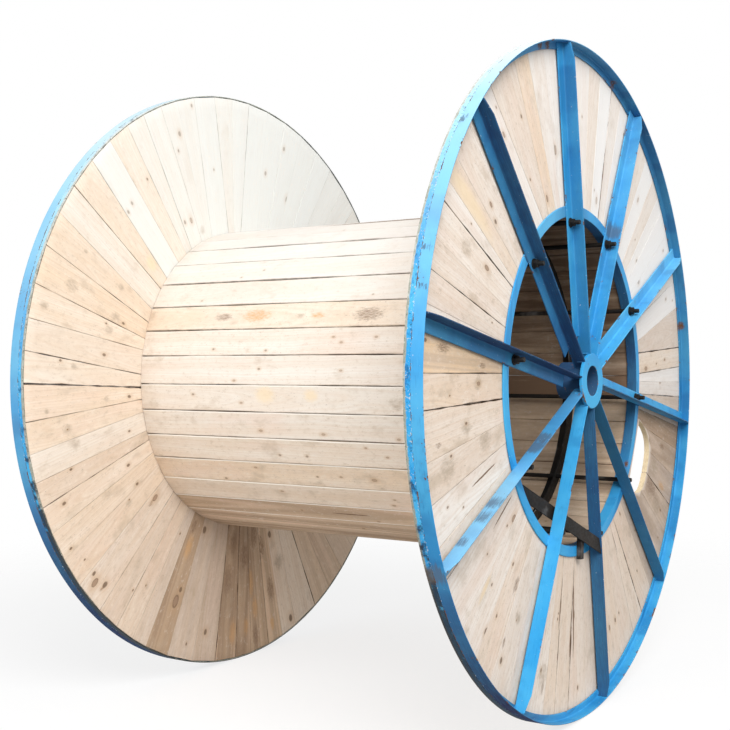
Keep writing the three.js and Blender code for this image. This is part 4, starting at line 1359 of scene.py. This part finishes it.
# The barrel's staves, flat planks with wedge sides: half width = height tan(half the angle) - gap / 2.
# Their inner faces take the inside tables, painted shade of the barrel's dark inside, and the upper bevels
# are painted pale, a painted highlight, where bevel glare says so.
def addStaves():
    name, count, end = "barrel", stave["count"], drum["staveEnd"]
    inner, outer = stave["inner"], stave["outer"]
    draw = np.random.default_rng(77)
    shells = Shells()
    turns = np.arange(count + 1) * 360 / count
    joints = stave["turn"] + turns + [stave["shifts"].get(round(turn), 0) for turn in turns]
    length, thickness = 2 * end, outer - inner
    section = plankSection(stave["bevel"])
    onLeft, arc = section[0] < 0.5, (section[4] > 0.1) & (section[4] < 0.9)
    gaps = [jointGap(name, place, stave, draw) for place in joints[:-1]]
    along, drawIn = plankRows(length, stave)
    gaps = [(gap * wavering(along, draw), dark) for gap, dark in gaps]
    for index in range(count):
        middle, half = (joints[index] + joints[index + 1]) / 2, (joints[index + 1] - joints[index]) / 2
        slope = np.tan(np.radians(half))
        (leftGap, leftDark), (rightGap, rightDark) = gaps[index], gaps[(index + 1) % count]
        width = np.full_like(along, 2 * outer * slope)
        a, h = plankShares(section, width, thickness, drawIn, leftGap, rightGap)
        low, high = inner + stave["sunk"] * draw.random() * 0.5, outer - stave["sunk"] * draw.random()
        radius = low + h * (high - low)
        aside = (2 * a - 1) * radius * slope + leftGap / 2 * (1 - a) - rightGap / 2 * a
        grid = joined(radius, aside, (2 * along - 1) * end)
        origin = (2.7 * index + 1.3, 2.3 * index + 0.4)
        grain = joined(origin[0] + aside, origin[1] + along * length)
        own = [row for row in shades[name] if within(row[0], middle, half)]
        found, stray = staveMarks(middle, half), stave["strayHalfWidth"]
        nature = plankNature(name, middle, own, found, origin, stray, length, draw)
        # painted shade: the staves' inner faces darkened as the barrel's dark inside
        sootAndShade, shadedTone = byAngle(tones["insideShadeStain"], middle), byAngle(tones["insideShadeTone"], middle)
        for key, value in {"stainAndShade": sootAndShade, "tone": shadedTone, **stave["insides"]}.items():
            nature[key] = np.where(h < 0.5, value, nature[key])
        edge = section[4] * np.where(onLeft, leftDark, rightDark) * stave["jointDark"]
        # painted highlight: the upper bevels of staves on the lit side are painted pale by a negative edge,
        # as bevel glare gives
        upper = onLeft & arc & (section[2] > 0.9) & (np.cos(np.radians(middle)) < 0)
        edge = np.where(upper, np.interp(middle, *stave["bevelGlare"]), edge)
        shells.add(toDrum(turnAboutAxis(grid, middle), near), grain=grain, edge=edge, **nature)
    shells.build("barrelStaves", stavePine, ["barrel_staves"])


addStaves()
print("staves made")

cableHole = {
    "angle": -27.3, "halfWidth": 0.152, "height": 0.185, "aboveRing": 0.022, "squareness": 3, "steps": 64,
    "beyond": 0.02,
}


# Cuts a piece by another, whose material goes on the cut, and clears the cutter away.
def cut(piece, cutter):
    modifier = piece.modifiers.new("cut", "BOOLEAN")
    modifier.object, modifier.operation, modifier.solver = cutter, "DIFFERENCE", "EXACT"
    modifier.material_mode = "TRANSFER"
    evaluated = piece.evaluated_get(bpy.context.evaluated_depsgraph_get())
    made = bpy.data.meshes.new_from_object(evaluated)
    piece.modifiers.clear()
    old, piece.data = piece.data, made
    made.name = piece.name
    spent = cutter.data
    bpy.data.objects.remove(cutter)
    for mesh in (old, spent):
        bpy.data.meshes.remove(mesh)


# Half a squared ellipse on the ring: (foot + height |cos b|^(2 / n), half width sign(sin b) |sin b|^(2 / n)).
def cutCableHole():
    b = np.linspace(-np.pi / 2, np.pi / 2, cableHole["steps"])
    power = 2 / cableHole["squareness"]
    foot = ringOuter + cableHole["aboveRing"]
    up, aside = np.abs(np.cos(b)) ** power, np.sign(np.sin(b)) * np.abs(np.sin(b)) ** power
    levels = np.array([drum["boardInner"] - cableHole["beyond"], drum["boardOuter"] + cableHole["beyond"]])
    grid = joined(foot + cableHole["height"] * up, cableHole["halfWidth"] * aside, levels[:, None])
    shells = Shells()
    shells.add(toDrum(turnAboutAxis(grid, cableHole["angle"]), near))
    cut(nearBoards, intoScene("holeCutter", shells.mesh("holeCutter", freshPine)))


cutCableHole()
print("cable hole cut")

softening = {"merge": 1e-5, "flat": 1, "sharp": 30, "profile": 0.6, "smooth": 38, "edge": 0.15}


# A softened copy of a plain part: doubles merged, flat faces joined, edges bevelled.
def softened(node, name, width, material):
    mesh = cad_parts[node].data.copy()
    mesh.name = name
    tool = bmesh.new()
    tool.from_mesh(mesh)
    bmesh.ops.remove_doubles(tool, verts=tool.verts, dist=softening["merge"])
    flat, sharp = np.radians(softening["flat"]), np.radians(softening["sharp"])
    bmesh.ops.dissolve_limit(tool, angle_limit=flat, verts=tool.verts, edges=tool.edges)
    edges = [e for e in tool.edges if len(e.link_faces) == 2 and e.calc_face_angle() > sharp]
    bmesh.ops.bevel(
        tool, geom=edges, offset=width, segments=2, profile=softening["profile"], affect="EDGES",
        clamp_overlap=True,
    )
    bmesh.ops.recalc_face_normals(tool, faces=tool.faces)
    tool.to_mesh(mesh)
    tool.free()
    mesh.materials.clear()
    mesh.materials.append(material)
    layer = mesh.attributes.new("edge", "FLOAT", "POINT")
    layer.data.foreach_set("value", np.full(len(mesh.vertices), softening["edge"], np.float32))
    mesh.shade_smooth()
    mesh.set_sharp_from_angle(angle=np.radians(softening["smooth"]))
    keep(name, mesh, [node])


softened("brace", "brace", 0.0008, darkSteel)
softened("brace_cleat", "braceCleat", 0.0006, greySteel)
print("brace made")

# Each pair is the places, heights or distances between which one strength fades into the next. keyFrom is
# the direction that the key light comes from.
studio = {
    "horizonLight": 0.82, "zenithLight": 0.50, "leftLight": 1.35, "leftFrom": (0.3, -1.0),
    "groundLight": 0.20, "groundFrom": (-0.15, 0.1), "keyPower": 706.0, "keyFrom": (0.56, -0.58, 0.60),
    "keyAway": 9.0, "keySize": 5.5, "target": (0.0, 0.0, 1.2), "floorHalf": 60, "floorHeight": -0.001,
    "floorSeen": 0.95, "floorGlow": 0.75, "bounceLeft": 0.80, "bounceRight": 0.28,
    "bounceFrom": (0.75, 1.15), "goneFrom": (2.2, 5.0),
}


# A disc of light towards the right, the front and above, facing the target.
def addKey():
    light = bpy.data.lights.new("key", "AREA")
    light.shape, light.size, light.energy = "DISK", studio["keySize"], studio["keyPower"]
    holder = intoScene("key", light)
    towards = Vector(studio["keyFrom"]).normalized()
    holder.location = Vector(studio["target"]) + towards * studio["keyAway"]
    holder.rotation_euler = towards.to_track_quat("Z", "Y").to_euler()


# 1 for rays from the camera, mirrored or not, and 0 for rays that only carry light.
def seenDirectly(tree):
    seen = 0.0
    for kind in ("Is Camera Ray", "Is Glossy Ray", "Is Transmission Ray"):
        seen = maths("MAXIMUM", put("LightPath", {}, kind, tree), seen)
    return seen


# White where it is seen. It lights the object from above, strength = ground to sky by the ray's height.
def addWorld():
    world = bpy.data.worlds.new("studio")
    bpy.context.scene.world = world
    world.use_nodes = True
    tree = world.node_tree
    _, y, height = split(put("TexCoord", {}, "Generated", tree))
    sky = fade(height, 0.0, 1.0, studio["horizonLight"], studio["zenithLight"])
    left = fade(y, *studio["leftFrom"], 1.0, studio["leftLight"])
    lit = sky * left * fade(height, *studio["groundFrom"], studio["groundLight"])
    strength = seenDirectly(tree) * (1.0 - lit) + lit
    connect(tree.nodes["Background"], {"Strength": strength, "Color": (1, 1, 1, 1)})


# The floor throws light back up, unevenly from side to side, and ends where the camera would see its edge.
def addFloor():
    half, low = studio["floorHalf"], studio["floorHeight"]
    mesh = bpy.data.meshes.new("floor")
    corners = [(-half, -half, low), (half, -half, low), (half, half, low), (-half, half, low)]
    mesh.from_pydata(corners, [], [(0, 1, 2, 3)])
    floor = intoScene("floor", mesh)
    material, tree, shader = newMaterial("paleFloor")
    where = objectPoints(tree)
    direct = seenDirectly(tree)
    bounce = fade(split(where)[0], *studio["bounceFrom"], studio["bounceLeft"], studio["bounceRight"])
    colour = blend(direct, combined(bounce, bounce, bounce), (studio["floorSeen"],) * 3 + (1,))
    connect(shader, {"Base Color": colour, "Roughness": 1.0, "Specular IOR Level": 0.0})
    glow = put("Emission", {"Color": (1, 1, 1, 1), "Strength": 1.0}, tree=tree)
    lit = put("MixShader", {0: direct * studio["floorGlow"], 1: Value(shader.outputs[0]), 2: glow})
    away = put("VectorMath", {0: where}, "Value", operation="LENGTH")
    clear = put("BsdfTransparent", {}, tree=tree)
    ended = put("MixShader", {0: direct * fade(away, *studio["goneFrom"]), 1: lit, 2: clear})
    connect(tree.nodes["Material Output"], {"Surface": ended})
    mesh.materials.append(material)


addWorld()
addFloor()
addKey()
bpy.context.scene.view_settings.view_transform = "Standard"
print("stage set")

view = {
    "place": (2.4827, -4.0544, 1.3252), "yaw": -0.54725, "pitch": -0.00329, "roll": -0.00306,
    "focalPixels": 1146.52, "shiftPixels": (31.71, 0.25), "imagePixels": 730, "sensor": 36.0,
}


# The camera's axes: forward from yaw and pitch, right and up square to it, both turned by roll.
def addCamera():
    yaw, pitch, roll = view["yaw"], view["pitch"], view["roll"]
    forward = Vector((np.sin(yaw) * np.cos(pitch), np.cos(yaw) * np.cos(pitch), np.sin(pitch)))
    right = forward.cross(Vector((0, 0, 1))).normalized()
    up = right.cross(forward)
    turnedRight = right * np.cos(roll) + up * np.sin(roll)
    turnedUp = up * np.cos(roll) - right * np.sin(roll)
    lens = bpy.data.cameras.new("camera")
    lens.sensor_width = view["sensor"]
    lens.lens = view["focalPixels"] / view["imagePixels"] * view["sensor"]
    lens.shift_x = -view["shiftPixels"][0] / view["imagePixels"]
    lens.shift_y = view["shiftPixels"][1] / view["imagePixels"]
    holder = intoScene("camera", lens)
    axes = Matrix((turnedRight, turnedUp, -forward)).transposed().to_4x4()
    holder.matrix_world = Matrix.Translation(view["place"]) @ axes
    bpy.context.scene.camera = holder


addCamera()
print("camera set")
